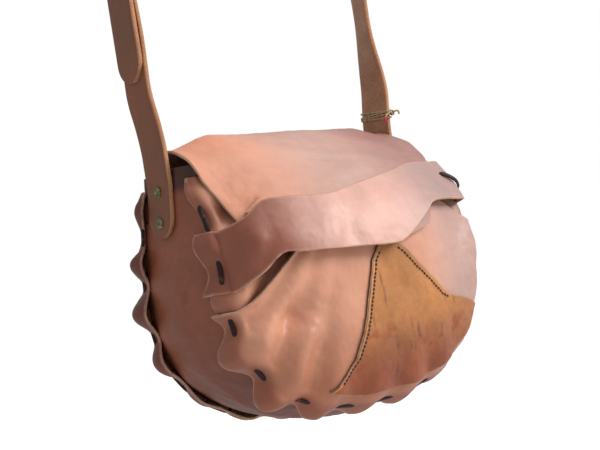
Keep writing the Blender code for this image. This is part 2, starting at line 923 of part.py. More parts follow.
def make_prong(finish):
    """The prong: an eye round the heel bar and a tapering shaft over the top bar."""
    eye = BAR_RADIUS + 0.0004
    rim = eye + 0.0014
    half = 0.0018
    loops = []
    for radius, y in ((eye, -half), (rim, -half), (rim, half), (eye, half)):
        loops.append(ring(buckle_point(0, y, BUCKLE_Z), (0, 1, 0), radius, 16))
    eye_object = add_cutter("prong_eye", loops_to_mesh("prong_eye", loops, closed=True))
    eye_object.hide_render = True
    eye_object.display_type = "WIRE"
    rest = TOP_BAR_OFFSET + BAR_RADIUS + PRONG_RADIUS + GAP
    path = [(0.0006, 0.0030), (0.0028, 0.009), (rest * 0.62, 0.024), (rest, BUCKLE_RISE - 0.001)]
    path += [(rest - 0.0002, BUCKLE_RISE + 0.003)]
    points = [buckle_point(offset, 0, BUCKLE_Z + height) for offset, height in path]
    shaft_loops = []
    for i, point in enumerate(points):
        tangent = points[min(i + 1, len(points) - 1)] - points[max(i - 1, 0)]
        radius = PRONG_RADIUS * (0.75 if i == len(points) - 1 else 1)
        shaft_loops.append(ring_about(point, tangent, Vector((0, 1, 0)), radius, 8))
    shaft = add_object("buckle_prong", loops_to_mesh("buckle_prong", shaft_loops), finish)
    join = shaft.modifiers.new("join_eye", "BOOLEAN")
    join.operation = "UNION"
    join.solver = "EXACT"
    join.object = eye_object
    return shaft


def block(name, low, high):
    """A plain cutter block."""
    loops = []
    for z in (low[2], high[2]):
        loops.append([(low[0], low[1], z), (high[0], low[1], z), (high[0], high[1], z), (low[0], high[1], z)])
    return add_cutter(name, loops_to_mesh(name, loops))


def make_keeper(finish):
    """A leather loop round the short strap, its fold and the billet, below the buckle."""
    z_low, z_high = 0.386, 0.398
    thick = 0.0022
    inner = -0.0056 - GAP - thick / 2
    outer = 0.0080 + GAP + thick / 2
    half = STRAP_WIDTH / 2 + GAP + thick / 2
    outline = [(inner, -half), (outer, -half), (outer, half), (inner, half)]
    loops = []
    for offset, y in outline:
        sign_o = 1 if offset > 0 else -1
        sign_y = 1 if y > 0 else -1
        ring_points = []
        for grow, z in ((-1, z_low), (1, z_low), (1, z_high), (-1, z_high)):
            step = grow * thick / 2
            ring_points.append(buckle_point(offset + sign_o * step, y + sign_y * step, z))
        loops.append(ring_points)
    return add_object("keeper_loop", loops_to_mesh("keeper_loop", loops, closed=True), finish)


TWINE_Z = 0.2575
CHAPE_RIVET_Z = 0.381
CHAPE_RIVET_Y = 0.010


def make_chape_rivet(name, side, finish):
    """A small rivet through the short strap and its folded end, flush outside."""
    inner = -CHAPE_THICK * 1.5 - GAP
    outline = [
        (inner - 0.0011, 0.0026),
        (inner - 0.0003, 0.0034),
        (inner - 0.00029, 0.0012),
        (CHAPE_THICK / 2 - 0.0006, 0.0012),
    ]
    centre = buckle_point(0, side * CHAPE_RIVET_Y, CHAPE_RIVET_Z)
    return add_object(name, turned(name, centre, (-1, 0, 0), outline, 10), finish)


def make_chape_holes():
    bm = bmesh.new()
    for side in (-1, 1):
        loops = []
        for offset in (-0.02, CHAPE_THICK / 2 - 0.0003):
            centre = buckle_point(offset, side * CHAPE_RIVET_Y, CHAPE_RIVET_Z)
            loops.append(ring(centre, (1, 0, 0), 0.0015, 10))
        add_tube(bm, loops)
    return add_cutter("chape_holes", mesh_of("chape_holes", bm))


def make_twine(finish):
    """Three turns of twine wound up the right side of the strap."""
    radius = 0.0010
    rise = 0.0027
    turns = 3.2
    half_y = STRAP_WIDTH / 2 + radius + 3 * GAP
    half_x = STRAP_THICK / 2 + radius + 4 * GAP
    steps = 14
    loops = []
    points = []
    for i in range(int(turns * steps) + 1):
        angle = math.tau * i / steps
        x, y = math.cos(angle), math.sin(angle)
        reach = (abs(x) ** 8 + abs(y) ** 8) ** (-1 / 8)
        z = TWINE_Z + rise * i / steps + 0.1 * half_y * y * reach
        points.append(Vector((strap_side_x(z) + half_x * x * reach, STRAP_Y + half_y * y * reach, z)))
    for i, point in enumerate(points):
        tangent = points[min(i + 1, len(points) - 1)] - points[max(i - 1, 0)]
        loops.append(ring_about(point, tangent, Vector((0, 0, 1)), radius, 5))
    return add_object("twine_wrap", loops_to_mesh("twine_wrap", loops), finish)


# ---------------------------------------------------------------- assembly


def main():
    for old in list(bpy.data.objects):
        bpy.data.objects.remove(old)

    tan = material("tan_leather", (0.55, 0.27, 0.17), 0.45)
    ochre = material("ochre_suede", (0.50, 0.24, 0.08), 0.75)
    bridle = material("strap_leather", (0.42, 0.20, 0.11), 0.5)
    thong = material("dark_thong", (0.035, 0.015, 0.012), 0.5)
    thread = material("dark_thread", (0.02, 0.02, 0.025), 0.6)
    brass = material("aged_brass", (0.36, 0.30, 0.16), 0.4, 1.0)
    jute = material("jute_twine", (0.48, 0.36, 0.20), 0.9)

    gusset = make_gusset(tan)
    front, pocket, back = make_panels(tan)
    make_patch(ochre)
    left_row, right_row = thread_paths()
    make_thread("patch_thread_left", left_row, thread)
    make_thread("patch_thread_right", right_row, thread)
    band = make_band(tan)
    make_flap(tan)

    make_lace("lace_front", -1, thong)
    make_lace("lace_back", 1, thong)
    front_slots = make_slots("front_slots", -1)
    back_slots = make_slots("back_slots", 1)
    for layer in (gusset, front, pocket, band):
        cut(layer, front_slots)
    for layer in (gusset, back):
        cut(layer, back_slots)

    for name, side in (("left", -1), ("right", 1)):
        end = make_strap_end("strap_end_" + name, side, bridle)
        for place_name, z in zip(("lower", "upper"), RIVET_HEIGHTS):
            make_rivet(f"rivet_{name}_{place_name}", side, z, brass)
        holes = make_rivet_holes("holes_" + name, side * 0.12, side * 0.15, RIVET_HEIGHTS)
        cut(end, holes)
        cut(gusset, holes)

    long = make_strap_long(bridle)
    short = make_strap_short(bridle)
    make_buckle_frame(brass)
    make_prong(brass)
    make_keeper(bridle)
    make_chape_rivet("chape_rivet_front", -1, brass)
    make_chape_rivet("chape_rivet_back", 1, brass)
    make_twine(jute)

    strap_x = -STRAP_X
    slot_half = 0.0025
    chape_slot = block(
        "chape_slot",
        (strap_x - 0.012, STRAP_Y - slot_half, BUCKLE_Z - 0.006),
        (strap_x + 0.012, STRAP_Y + slot_half, BUCKLE_Z + 0.012),
    )
    cut(short, chape_slot)
    cut(short, make_chape_holes())
    billet_hole = block(
        "billet_hole",
        (strap_x - 0.014, STRAP_Y - slot_half, BUCKLE_Z + 0.0065),
        (strap_x + 0.004, STRAP_Y + slot_half, BUCKLE_Z + 0.0330),
    )
    cut(long, billet_hole)


main()
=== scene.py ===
"""The looks of the laced leather shoulder bag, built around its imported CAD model."""

import math

import bpy
import numpy as np
from mathutils import Matrix, Vector, noise
from mathutils.bvhtree import BVHTree


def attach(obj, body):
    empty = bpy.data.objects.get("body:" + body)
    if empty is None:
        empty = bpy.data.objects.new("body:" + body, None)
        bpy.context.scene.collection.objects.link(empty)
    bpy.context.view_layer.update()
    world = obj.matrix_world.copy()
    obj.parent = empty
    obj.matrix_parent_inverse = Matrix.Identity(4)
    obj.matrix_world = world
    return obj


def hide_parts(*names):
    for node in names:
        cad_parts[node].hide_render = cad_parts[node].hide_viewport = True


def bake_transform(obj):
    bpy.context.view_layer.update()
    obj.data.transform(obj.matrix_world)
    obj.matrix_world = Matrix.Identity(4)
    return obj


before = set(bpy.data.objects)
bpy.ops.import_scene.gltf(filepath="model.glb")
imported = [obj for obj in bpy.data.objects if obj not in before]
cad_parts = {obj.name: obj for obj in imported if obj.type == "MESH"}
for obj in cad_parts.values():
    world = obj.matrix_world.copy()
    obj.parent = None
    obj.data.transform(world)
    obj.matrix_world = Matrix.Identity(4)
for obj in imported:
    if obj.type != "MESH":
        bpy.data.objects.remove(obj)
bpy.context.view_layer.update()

# The bag's own frame: metres, z = 0 at the bottom of the seams, front towards -Y.
HALF_WIDTH = 0.130
HALF_WIDTH_TOP = 0.124
WIDEST_Z = 0.110
SEAM_TOP = 0.209
SEAM_POWER = 2.3
SEAM_Y = 0.062
SEAM_RISE = 0.010
FRONT_SHIFT = 0.009
FRONT_FLARE = 0.011
SKEW_Y = -0.005
FRONT_TOP_Y = -0.020
BACK_TOP_Y = 0.050
GUSSET_TOP = 0.222
GUSSET_BULGE = 0.010
GUSSET_BULGE_TOP = 0.0015
LEATHER = 0.0022
GAP = 0.0003
LACE_INSET = 0.006
LACE_START = 0.016
LACE_STOP = 0.006
STITCHES = 13
STRAP_WIDTH = 0.038
STRAP_THICK = 0.004
STRAP_Y = 0.016
STRAP_X = 0.1345
TAB_BOTTOM = 0.166
TAB_TOP = 0.2155
SWING_Z = 0.236
ARCH_RADIUS = STRAP_X
ARCH_Z = 0.505
ARCH_SPANS = 21
CREST_Y = 0.012
BUCKLE_Z = 0.425
BUCKLE_RISE = 0.044
BAR_RADIUS = 0.002
BILLET_TIP = 0.300
TWINE_Z = 0.2575
RIVET_HEIGHTS = (0.179, 0.205)
ORIGIN_Z = ARCH_Z + (ARCH_RADIUS - STRAP_THICK / 2) * math.cos(math.pi / 2 / ARCH_SPANS)
POCKET_ENDS = (5 / 26, 23 / 26)  # where the pocket's laced edge starts and stops along the seam
CREST_Z = 0.250
FLAP_ROOT = (0.0565, 0.2183)
FLAP_SAMPLES = 48
FLAP_REACH = 0.130
KEEPER_Z = 0.392
CAMERA_TURN = 38  # degrees
CAMERA_PITCH = 3
CAMERA_ROLL = 9.5
CAMERA_LENS = 59.4
FLOOR_Z = -0.30
FLOOR_GLOW = 0.75  # seen by the camera only, so it lights nothing
SKY_LIGHT = 0.42
KEY_POWER = 34
TOP_POWER = 9
SHARP_ANGLE = 50  # degrees
LACE_HALF = 0.0118  # half of one stitch of the lace
BAND_THICK = 0.0020
PATCH_THICK = 0.0018
TWIST_START = 0.272
FIRST_LAYER = LEATHER + 2 * GAP
SECOND_LAYER = 2 * FIRST_LAYER
FACE_CLEAR = LEATHER / 2 + 6 * GAP
FINE = 1.0  # share of the full grid density


def smooth(t):
    t = min(1.0, max(0.0, t))
    return t * t * (3 - 2 * t)


def lerp(a, b, t):
    return a + (b - a) * t


def along(points, t):
    """A value read from (place, value) pairs, in straight lines between neighbours."""
    if t <= points[0][0]:
        return points[0][1]
    for (t0, v0), (t1, v1) in zip(points, points[1:]):
        if t <= t1:
            return lerp(v0, v1, (t - t0) / (t1 - t0))
    return points[-1][1]


def place(points):
    """From the bag's own frame to the row frame."""
    return np.asarray(points, float) - (0.0, STRAP_Y, ORIGIN_Z)


def gauss(distance, width):
    return math.exp(-((distance / width) ** 2))


# ---- the bag's form, skewed more than the CAD


def moved(point, weight=1.0):
    """The front is skewed: it shifts right, spreads at its upper right and rises towards the bottom."""
    x, y, z = point
    lift = SEAM_RISE * max(0.0, 1 - z / WIDEST_Z)
    flare = FRONT_FLARE * smooth(x / 0.13) * smooth((z - 0.05) / 0.13)
    return Vector((x + (FRONT_SHIFT + flare) * weight, y, z + lift * weight))


def half_width(z):
    if z < WIDEST_Z:
        low = (WIDEST_Z - max(z, 0.0)) / WIDEST_Z
        return HALF_WIDTH * max(0.0, 1 - low**SEAM_POWER) ** (1 / SEAM_POWER)
    high = (z - WIDEST_Z) / (SEAM_TOP - WIDEST_Z)
    return HALF_WIDTH - (HALF_WIDTH - HALF_WIDTH_TOP) * high * high


def above_widest(z):
    high = max(0.0, z - WIDEST_Z) / (SEAM_TOP - WIDEST_Z)
    return high * high


def front_y(z):
    return lerp(-SEAM_Y, FRONT_TOP_Y, above_widest(z))


def back_y(z):
    return lerp(SEAM_Y, BACK_TOP_Y, above_widest(z))


def skew_weight(y, z):
    level = min(z, SEAM_TOP)
    return min(1.0, max(0.0, (SKEW_Y - y) / (SKEW_Y - front_y(level))))


def profile_points(top):
    steps = 200
    left = []
    for i in range(steps):
        z = lerp(top, WIDEST_Z, i / steps)
        left.append((-half_width(z), z))
    for i in range(steps + 1):
        angle = math.pi / 2 * i / steps
        x = HALF_WIDTH * math.cos(angle) ** (2 / SEAM_POWER)
        z = WIDEST_Z - WIDEST_Z * math.sin(angle) ** (2 / SEAM_POWER)
        left.append((-x, z))
    return left + [(-x, z) for x, z in reversed(left[:-1])]


class Profile:
    """The seams' outline read by distance along it."""

    def __init__(self, top):
        self.points = profile_points(top)
        self.marks = [0.0]
        for a, b in zip(self.points, self.points[1:]):
            self.marks.append(self.marks[-1] + math.dist(a, b))
        self.length = self.marks[-1]

    def at(self, distance):
        """(x, z, outward normal x, outward normal z)"""
        distance = min(max(distance, 0.0), self.length)
        i = int(np.searchsorted(self.marks, distance))
        i = min(max(i, 1), len(self.marks) - 1)
        t = (distance - self.marks[i - 1]) / (self.marks[i] - self.marks[i - 1])
        a, b = self.points[i - 1], self.points[i]
        lo, hi = self.points[max(0, i - 9)], self.points[min(len(self.points) - 1, i + 8)]
        tangent = Vector((hi[0] - lo[0], hi[1] - lo[1])).normalized()
        return lerp(a[0], b[0], t), lerp(a[1], b[1], t), tangent.y, -tangent.x


SEAM = Profile(SEAM_TOP)
GUSSET_LINE = Profile(GUSSET_TOP)
PITCH = (SEAM.length - LACE_START - LACE_STOP) / STITCHES


def fullness(x, z):
    across = abs(x) / half_width(max(z, WIDEST_Z))
    below = max(0.0, WIDEST_Z - z) / WIDEST_Z
    inside = 1 - across**SEAM_POWER - below**SEAM_POWER
    return max(0.0, inside) ** 0.62


def panel_y(x, z):
    return front_y(z) - FACE_CLEAR - 0.006 * fullness(x, z)


def pocket_y(x, z):
    upper = smooth((z - 0.11) / 0.06)
    return front_y(z) - FACE_CLEAR - FIRST_LAYER - (0.022 + 0.006 * upper) * fullness(x, z)


def flap_lower_y(x, z):
    return pocket_y(x, z) - 0.0065


def band_y(x, z):
    return pocket_y(x, z) - 0.0105


def back_panel_y(x, z):
    return back_y(z) + FACE_CLEAR + 0.008 * fullness(x, z)


def bulge(z):
    return lerp(GUSSET_BULGE, GUSSET_BULGE_TOP, smooth((z - 0.120) / 0.045))


def gusset_share(z, inset):
    level = min(z, SEAM_TOP)
    half = (back_y(level) - front_y(level)) / 2
    return 1 - inset / half


def rim_base(distance, inset, side):
    """A point of the gusset beside a seam: side is -1 at the front and 1 at the back."""
    x, z, nx, nz = SEAM.at(distance)
    edge = front_y(z) if side < 0 else back_y(z)
    share = gusset_share(z, max(inset, 0.0))
    out = bulge(z) * (1 - share * share)
    y = edge - side * inset
    return moved((x + nx * out, y, z + nz * out), skew_weight(y, z))


def rim_normal(distance, inset, side):
    step = 0.001
    near = max(inset, 0.0)
    along_seam = rim_base(distance + step, near, side) - rim_base(distance - step, near, side)
    across = rim_base(distance, near + step, side) - rim_base(distance, near, side)
    return along_seam.cross(across).normalized() * side


def rim_point(distance, inset, layer, side):
    """A point at the middle of a layer that lies on the gusset."""
    base = rim_base(distance, max(inset, 0.0), side)
    ahead = Vector((0, min(inset, 0.0) * -side, 0))
    return base + rim_normal(distance, inset, side) * layer + ahead


def seam_distance(z, right=False):
    best = min(range(len(SEAM.points) // 2), key=lambda i: abs(SEAM.points[i][1] - z))
    return SEAM.length - SEAM.marks[best] if right else SEAM.marks[best]


# ---- the gathers that the lace makes


def hill(distance):
    """0 at each stitch of the lace and 1 midway between two."""
    phase = (distance - LACE_START) / PITCH
    return 0.5 + 0.5 * math.cos(math.tau * phase)


FRONT_GATHERS = ((0.05, 0.8), (0.16, 1.0), (0.34, 1.1), (0.42, 0.6), (0.60, 0.6), (0.72, 0.2), (1, 0.12))
BACK_GATHERS = ((0.03, 0.9), (0.08, 0.6), (0.12, 1.8), (0.22, 1.8), (0.28, 0.45), (0.7, 0.5), (1, 0.8))


def gather_share(distance, side):
    """The lace is pulled tight down the left side, and lies nearly flat down the right."""
    return along(FRONT_GATHERS if side < 0 else BACK_GATHERS, distance / SEAM.length)


def hill_size(distance, seed, side=-1):
    """No two gathers are alike."""
    phase = (distance - LACE_START) / PITCH
    return gather_share(distance, side) * (1 + 0.45 * noise.noise(Vector((phase * 0.55, seed, 0.3))))


def fold(distance, depth, seed, side=-1):
    """How far a panel's face stands forward of its plain form, at a depth in from its corner."""
    size = hill_size(distance, seed + 7, side)
    reach = 0.032 * min(size, 1.2)
    near = math.exp(-depth / reach) * (1 - math.exp(-(depth + 0.004) / 0.006))
    return (hill(distance) - 0.45) * 0.0125 * near * size


DIMPLES = (  # x, z, half length, half height, lean, depth
    (-0.088, 0.085, 0.024, 0.0150, 0.15, 0.0120),
    (-0.072, 0.052, 0.018, 0.0130, 0.60, 0.0040),
    (0.104, 0.135, 0.012, 0.0280, 0.00, 0.0060),
)


def dimple(x, z):
    """Deep dents in the pocket where its folds run out."""
    total = 0.0
    for dx, dz, long, high, lean, depth in DIMPLES:
        a, b = x - dx, z - dz - lean * (x - dx)
        total += depth * math.exp(-((a / long) ** 2) - (b / high) ** 2)
    return total


# ---- mesh building


def spline(points, count):
    """Points along a smooth curve through the given ones."""
    p = np.array([tuple(q) for q in points], float)
    padded = np.vstack((2 * p[0] - p[1], p, 2 * p[-1] - p[-2]))
    t = np.linspace(0, len(p) - 1 - 1e-9, count)
    i = t.astype(int)
    u = (t - i)[:, None]
    a, b, c, d = padded[i], padded[i + 1], padded[i + 2], padded[i + 3]
    return 0.5 * (2 * b + (c - a) * u + (2 * a - 5 * b + 4 * c - d) * u**2 + (3 * b - a - 3 * c + d) * u**3)


def field(rows, size, seed):
    """Smooth noise at each point of a grid, with features of this size."""
    flat = rows.reshape(-1, 3) / size + (seed, 2.3 * seed, -seed)
    values = [noise.noise(p) for p in flat.tolist()]
    return np.array(values).reshape(rows.shape[:2])


def grid_normals(rows):
    across = np.cross(np.gradient(rows, axis=0), np.gradient(rows, axis=1))
    return across / np.maximum(np.linalg.norm(across, axis=2, keepdims=True), 1e-12)


def edge_distance(rows, sides):
    """How far each point lies from the nearest raw edge: sides name the grid's free borders."""
    down = np.linalg.norm(np.diff(rows, axis=0), axis=2)
    right = np.linalg.norm(np.diff(rows, axis=1), axis=2)
    down = np.vstack((np.zeros((1, rows.shape[1])), np.cumsum(down, axis=0)))
    right = np.hstack((np.zeros((rows.shape[0], 1)), np.cumsum(right, axis=1)))
    spans = {"first": down, "last": down[-1:] - down, "left": right, "right": right[:, -1:] - right}
    return np.minimum.reduce([np.full(rows.shape[:2], 1.0), *(spans[side] for side in sides)])


def linear(colour):
    """Linear light from an sRGB colour of 0 to 255."""
    parts = np.asarray(colour, float) / 255
    return np.where(parts <= 0.04045, parts / 12.92, ((parts + 0.055) / 1.055) ** 2.4)


def add_attributes(mesh, rest, edge, tint):
    rgba = np.ones((len(tint), 4))
    rgba[:, :3] = tint
    layers = (
        ("rest", "FLOAT_VECTOR", "vector", rest),
        ("edge", "FLOAT", "value", edge),
        ("tint", "FLOAT_COLOR", "color", rgba),
    )
    for name, kind, key, values in layers:
        layer = mesh.attributes.new(name, kind, "POINT")
        layer.data.foreach_set(key, np.asarray(values, np.float32).ravel())


def link(name, data):
    made = bpy.data.objects.new(name, data)
    bpy.context.scene.collection.objects.link(made)
    return made


def fit(made, node, body):
    """Puts a piece in place of a CAD node, on that node's body."""
    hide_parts(node)
    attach(made, body)


def grid_object(name, rows, finishes, outward, thick, edges, colour, wrinkle=0.0006, seed=1.0):
    """A sheet of leather. outward(rows) gives a direction that its grain side faces.

    finishes are the grain side's, the flesh side's and the cut edge's; colour(point) gives the colour: the
    dye, with painted shade or highlight on some pieces.
    """
    rows = np.asarray(rows, float)
    normals = grid_normals(rows)
    facing = np.sum(normals * outward(rows), axis=2)
    flip = facing.mean() < 0
    if flip:
        normals = -normals
    relief = field(rows, 0.022, seed) + 0.5 * field(rows, 0.010, seed + 3)
    relief = relief + 0.22 * field(rows, 0.0045, seed + 5)
    rows = rows + normals * (relief * wrinkle)[:, :, None]
    count_r, count_c = rows.shape[:2]
    index = np.arange(count_r * count_c).reshape(count_r, count_c)
    quads = np.stack((index[:-1, :-1], index[1:, :-1], index[1:, 1:], index[:-1, 1:]), axis=2).reshape(-1, 4)
    if flip:
        quads = quads[:, ::-1]
    mesh = bpy.data.meshes.new(name)
    flat = place(rows.reshape(-1, 3))
    mesh.from_pydata(flat.tolist(), [], quads.tolist())
    tint = np.array([colour(p) for p in rows.reshape(-1, 3).tolist()])
    add_attributes(mesh, flat, edge_distance(rows, edges).ravel(), tint)
    made = link(name, mesh)
    for finish in finishes:
        mesh.materials.append(finish)
    mesh.shade_smooth()
    solid = made.modifiers.new("thickness", "SOLIDIFY")
    solid.thickness = thick
    solid.offset = 0
    solid.use_even_offset = False
    solid.use_quality_normals = True
    solid.material_offset = 1
    solid.material_offset_rim = 2
    return made


class Shape:
    """Collects tubes and sweeps into one mesh."""

    def __init__(self):
        self.points = []
        self.faces = []
        self.finish = []

    def add_loops(self, loops, finish=None, closed=False):
        """Bridges equal loops of points. finish gives a material index for each side of the loop."""
        base = len(self.points)
        count = len(loops[0])
        for loop in loops:
            self.points += [tuple(p) for p in loop]
        pairs = len(loops) if closed else len(loops) - 1
        for k in range(pairs):
            a = base + k * count
            b = base + (k + 1) % len(loops) * count
            for i in range(count):
                j = (i + 1) % count
                self.faces.append((a + i, a + j, b + j, b + i))
                self.finish.append(finish[i] if finish else 0)
        if not closed:
            self.faces.append(tuple(base + i for i in reversed(range(count))))
            self.faces.append(tuple(base + (len(loops) - 1) * count + i for i in range(count)))
            self.finish += [0, 0]

    def object(self, name, finishes, colour):
        mesh = bpy.data.meshes.new(name)
        flat = place(self.points)
        mesh.from_pydata(flat.tolist(), [], self.faces)
        for finish in finishes:
            mesh.materials.append(finish)
        mesh.polygons.foreach_set("material_index", self.finish)
        tint = np.array([colour(p) for p in self.points])
        add_attributes(mesh, flat, np.full(len(flat), 1.0), tint)
        mesh.shade_smooth()
        mesh.set_sharp_from_angle(angle=math.radians(SHARP_ANGLE))
        return link(name, mesh)


def ring_about(centre, tangent, up, wide, high, sides):
    """An ellipse across a path: wide along the side and high along up."""
    tangent = tangent.normalized()
    side = tangent.cross(up).normalized()
    up = side.cross(tangent)
    points = []
    for i in range(sides):
        angle = math.tau * (i + 0.5) / sides
        points.append(centre + side * (wide * math.cos(angle)) + up * (high * math.sin(angle)))
    return points


def tube(shape, points, up, wide, high, sides=10, closed=False, taper=0):
    """A tube along points; taper rounds off that many of its end loops."""
    points = [Vector(p) for p in points]
    last = len(points) - 1
    loops = []
    for i, point in enumerate(points):
        if closed:
            tangent = points[(i + 1) % len(points)] - points[i - 1]
        else:
            tangent = points[min(i + 1, last)] - points[max(i - 1, 0)]
        near_end = min(i, last - i)
        share = 1.0
        if taper and near_end < taper:
            share = math.sqrt(max(0.06, 1 - (1 - (near_end + 0.3) / taper) ** 2))
        loops.append(ring_about(point, tangent, up, wide * share, high * share, sides))
    shape.add_loops(loops, closed=closed)


# ---- finishes


def shader_tree(name):
    made = bpy.data.materials.new(name)
    made.use_nodes = True
    return made, made.node_tree, made.node_tree.nodes["Principled BSDF"]


def feed(tree, socket, source):
    """Sets a socket to a constant, or links a source to it."""
    if isinstance(source, (int, float)):
        socket.default_value = source
    elif isinstance(source, tuple):
        socket.default_value = (*source, 1)
    else:
        tree.links.new(source, socket)


def mix_colour(tree, factor, first, second, blend="MIX"):
    node = tree.nodes.new("ShaderNodeMix")
    node.data_type = "RGBA"
    node.blend_type = blend
    for socket, source in ((0, factor), (6, first), (7, second)):
        feed(tree, node.inputs[socket], source)
    return node.outputs[2]


def math_node(tree, operation, first, second):
    node = tree.nodes.new("ShaderNodeMath")
    node.operation = operation
    feed(tree, node.inputs[0], first)
    feed(tree, node.inputs[1], second)
    return node.outputs[0]


def map_range(tree, source, low, high, to_low=0.0, to_high=1.0):
    node = tree.nodes.new("ShaderNodeMapRange")
    node.clamp = True
    tree.links.new(source, node.inputs["Value"])
    for key, value in (("From Min", low), ("From Max", high), ("To Min", to_low), ("To Max", to_high)):
        node.inputs[key].default_value = value
    return node.outputs["Result"]


def noise_node(tree, where, scale, detail=4.0, rough=0.55, stretch=(1, 1, 1), turn=(0, 0, 0)):
    mapping = tree.nodes.new("ShaderNodeMapping")
    mapping.inputs["Scale"].default_value = stretch
    mapping.inputs["Rotation"].default_value = turn
    tree.links.new(where, mapping.inputs["Vector"])
    node = tree.nodes.new("ShaderNodeTexNoise")
    for key, value in (("Scale", scale), ("Detail", detail), ("Roughness", rough)):
        node.inputs[key].default_value = value
    tree.links.new(mapping.outputs["Vector"], node.inputs["Vector"])
    return node.outputs["Fac"]


def attribute(tree, name, output):
    node = tree.nodes.new("ShaderNodeAttribute")
    node.attribute_name = name
    return node.outputs[output]


def add_bump(tree, shader, height, strength, distance):
    bump = tree.nodes.new("ShaderNodeBump")
    bump.inputs["Strength"].default_value = strength
    bump.inputs["Distance"].default_value = distance
    tree.links.new(height, bump.inputs["Height"])
    tree.links.new(bump.outputs["Normal"], shader.inputs["Normal"])


def leather_finish(
    name, edge_colour, mottle=0.12, scratch=0.05, roughness=0.42, grain=0.16, sheen=0.0, coat=0.0
):
    """Dyed leather: the colour is the mesh's tint (its dye, with painted shade or highlight on some pieces),
    mottled, scratched, and worn pale near cut edges.
    """
    made, tree, shader = shader_tree(name)
    where = attribute(tree, "rest", "Vector")
    tint = attribute(tree, "tint", "Color")
    broad = noise_node(tree, where, 16, 3)
    fine = noise_node(tree, where, 150, 6, 0.65)
    streak = noise_node(tree, where, 26, 5, 0.6, (6, 1, 1.2), (0.2, 0.55, 0.1))
    tone = math_node(tree, "ADD", map_range(tree, broad, 0.3, 0.7, -mottle, mottle * 0.6), 1.0)
    speck = map_range(tree, fine, 0.25, 0.75, -mottle * 0.35, mottle * 0.35)
    tone = math_node(tree, "ADD", tone, speck)
    coloured = mix_colour(tree, 1.0, tint, tone, "MULTIPLY")
    lines = map_range(tree, streak, 0.60, 0.68, 0.0, scratch)
    coloured = mix_colour(tree, lines, coloured, (0.13, 0.035, 0.02))
    edge = attribute(tree, "edge", "Fac")
    wear = map_range(tree, edge, 0.0003, 0.0022, 0.8, 0.0)
    wear = math_node(tree, "MULTIPLY", wear, map_range(tree, fine, 0.35, 0.6, 0.25, 1.0))
    tree.links.new(mix_colour(tree, wear, coloured, edge_colour), shader.inputs["Base Color"])
    gloss = map_range(tree, broad, 0.3, 0.7, roughness - 0.06, roughness + 0.08)
    tree.links.new(gloss, shader.inputs["Roughness"])
    shader.inputs["Sheen Weight"].default_value = sheen
    shader.inputs["Sheen Roughness"].default_value = 0.4
    shader.inputs["Coat Weight"].default_value = coat
    shader.inputs["Coat Roughness"].default_value = 0.28
    cells = tree.nodes.new("ShaderNodeTexVoronoi")
    cells.feature = "SMOOTH_F1"
    cells.inputs["Scale"].default_value = 900
    tree.links.new(where, cells.inputs["Vector"])
    pores = math_node(tree, "ADD", cells.outputs["Distance"], math_node(tree, "MULTIPLY", fine, 1.6))
    add_bump(tree, shader, pores, grain, 0.0006)
    return made


def fibre_finish(name, light, dark, scale=420, roughness=0.95):
    """The fuzzy flesh side or cut edge of leather, or twine."""
    made, tree, shader = shader_tree(name)
    where = attribute(tree, "rest", "Vector")
    fuzz = noise_node(tree, where, scale, 5, 0.7)
    broad = noise_node(tree, where, 40, 3)
    both = math_node(
        tree, "ADD", math_node(tree, "MULTIPLY", fuzz, 0.6), math_node(tree, "MULTIPLY", broad, 0.4)
    )
    colour = mix_colour(tree, map_range(tree, both, 0.36, 0.64), dark, light)
    tree.links.new(colour, shader.inputs["Base Color"])
    shader.inputs["Roughness"].default_value = roughness
    shader.inputs["Sheen Weight"].default_value = 0.25
    add_bump(tree, shader, fuzz, 0.6, 0.0007)
    return made


def metal_finish(name, bright, tarnish):
    made, tree, shader = shader_tree(name)
    where = tree.nodes.new("ShaderNodeTexCoord").outputs["Object"]
    patina = noise_node(tree, where, 260, 5, 0.65)
    share = map_range(tree, patina, 0.38, 0.62)
    tree.links.new(mix_colour(tree, share, bright, tarnish), shader.inputs["Base Color"])
    tree.links.new(map_range(tree, patina, 0.35, 0.65, 0.28, 0.62), shader.inputs["Roughness"])
    shader.inputs["Metallic"].default_value = 1.0
    return made


def thong_finish(name):
    """Dark thong, golden brown where it is rubbed."""
    made, tree, shader = shader_tree(name)
    rub = noise_node(tree, attribute(tree, "rest", "Vector"), 190, 4, 0.6)
    worn = map_range(tree, rub, 0.56, 0.74)
    colour = mix_colour(tree, worn, (0.024, 0.009, 0.010), (0.19, 0.085, 0.03))
    tree.links.new(colour, shader.inputs["Base Color"])
    shader.inputs["Roughness"].default_value = 0.55
    shader.inputs["Specular IOR Level"].default_value = 0.3
    return made


PALE_EDGE = (0.62, 0.34, 0.22)
grain = leather_finish("tan_grain", PALE_EDGE, roughness=0.46, coat=0.04)
grain_dark = leather_finish("gusset_grain", (0.30, 0.13, 0.08), mottle=0.22, scratch=0.30, roughness=0.52)
flesh = fibre_finish("flesh_side", (0.52, 0.29, 0.18), (0.34, 0.17, 0.10))
raw_edge = fibre_finish("raw_edge", (0.72, 0.44, 0.30), (0.50, 0.26, 0.16), 700)
dark_edge = fibre_finish("burnished_edge", (0.14, 0.045, 0.02), (0.05, 0.016, 0.01), 700, 0.6)
ochre = leather_finish(
    "ochre_nubuck", (0.62, 0.35, 0.16), mottle=0.30, scratch=0.6, roughness=0.55, grain=0.35, sheen=0.15
)
bridle = leather_finish(
    "strap_grain", (0.60, 0.30, 0.16), mottle=0.18, scratch=0.25, roughness=0.55, grain=0.35
)
bridle_flesh = fibre_finish("strap_flesh", (0.50, 0.26, 0.14), (0.30, 0.13, 0.07))
bridle_edge = fibre_finish("strap_edge", (0.66, 0.32, 0.16), (0.40, 0.17, 0.08), 800)
thong = thong_finish("dark_thong_worn")
thread = fibre_finish("thread_black", (0.035, 0.03, 0.035), (0.008, 0.007, 0.010), 900, 0.7)
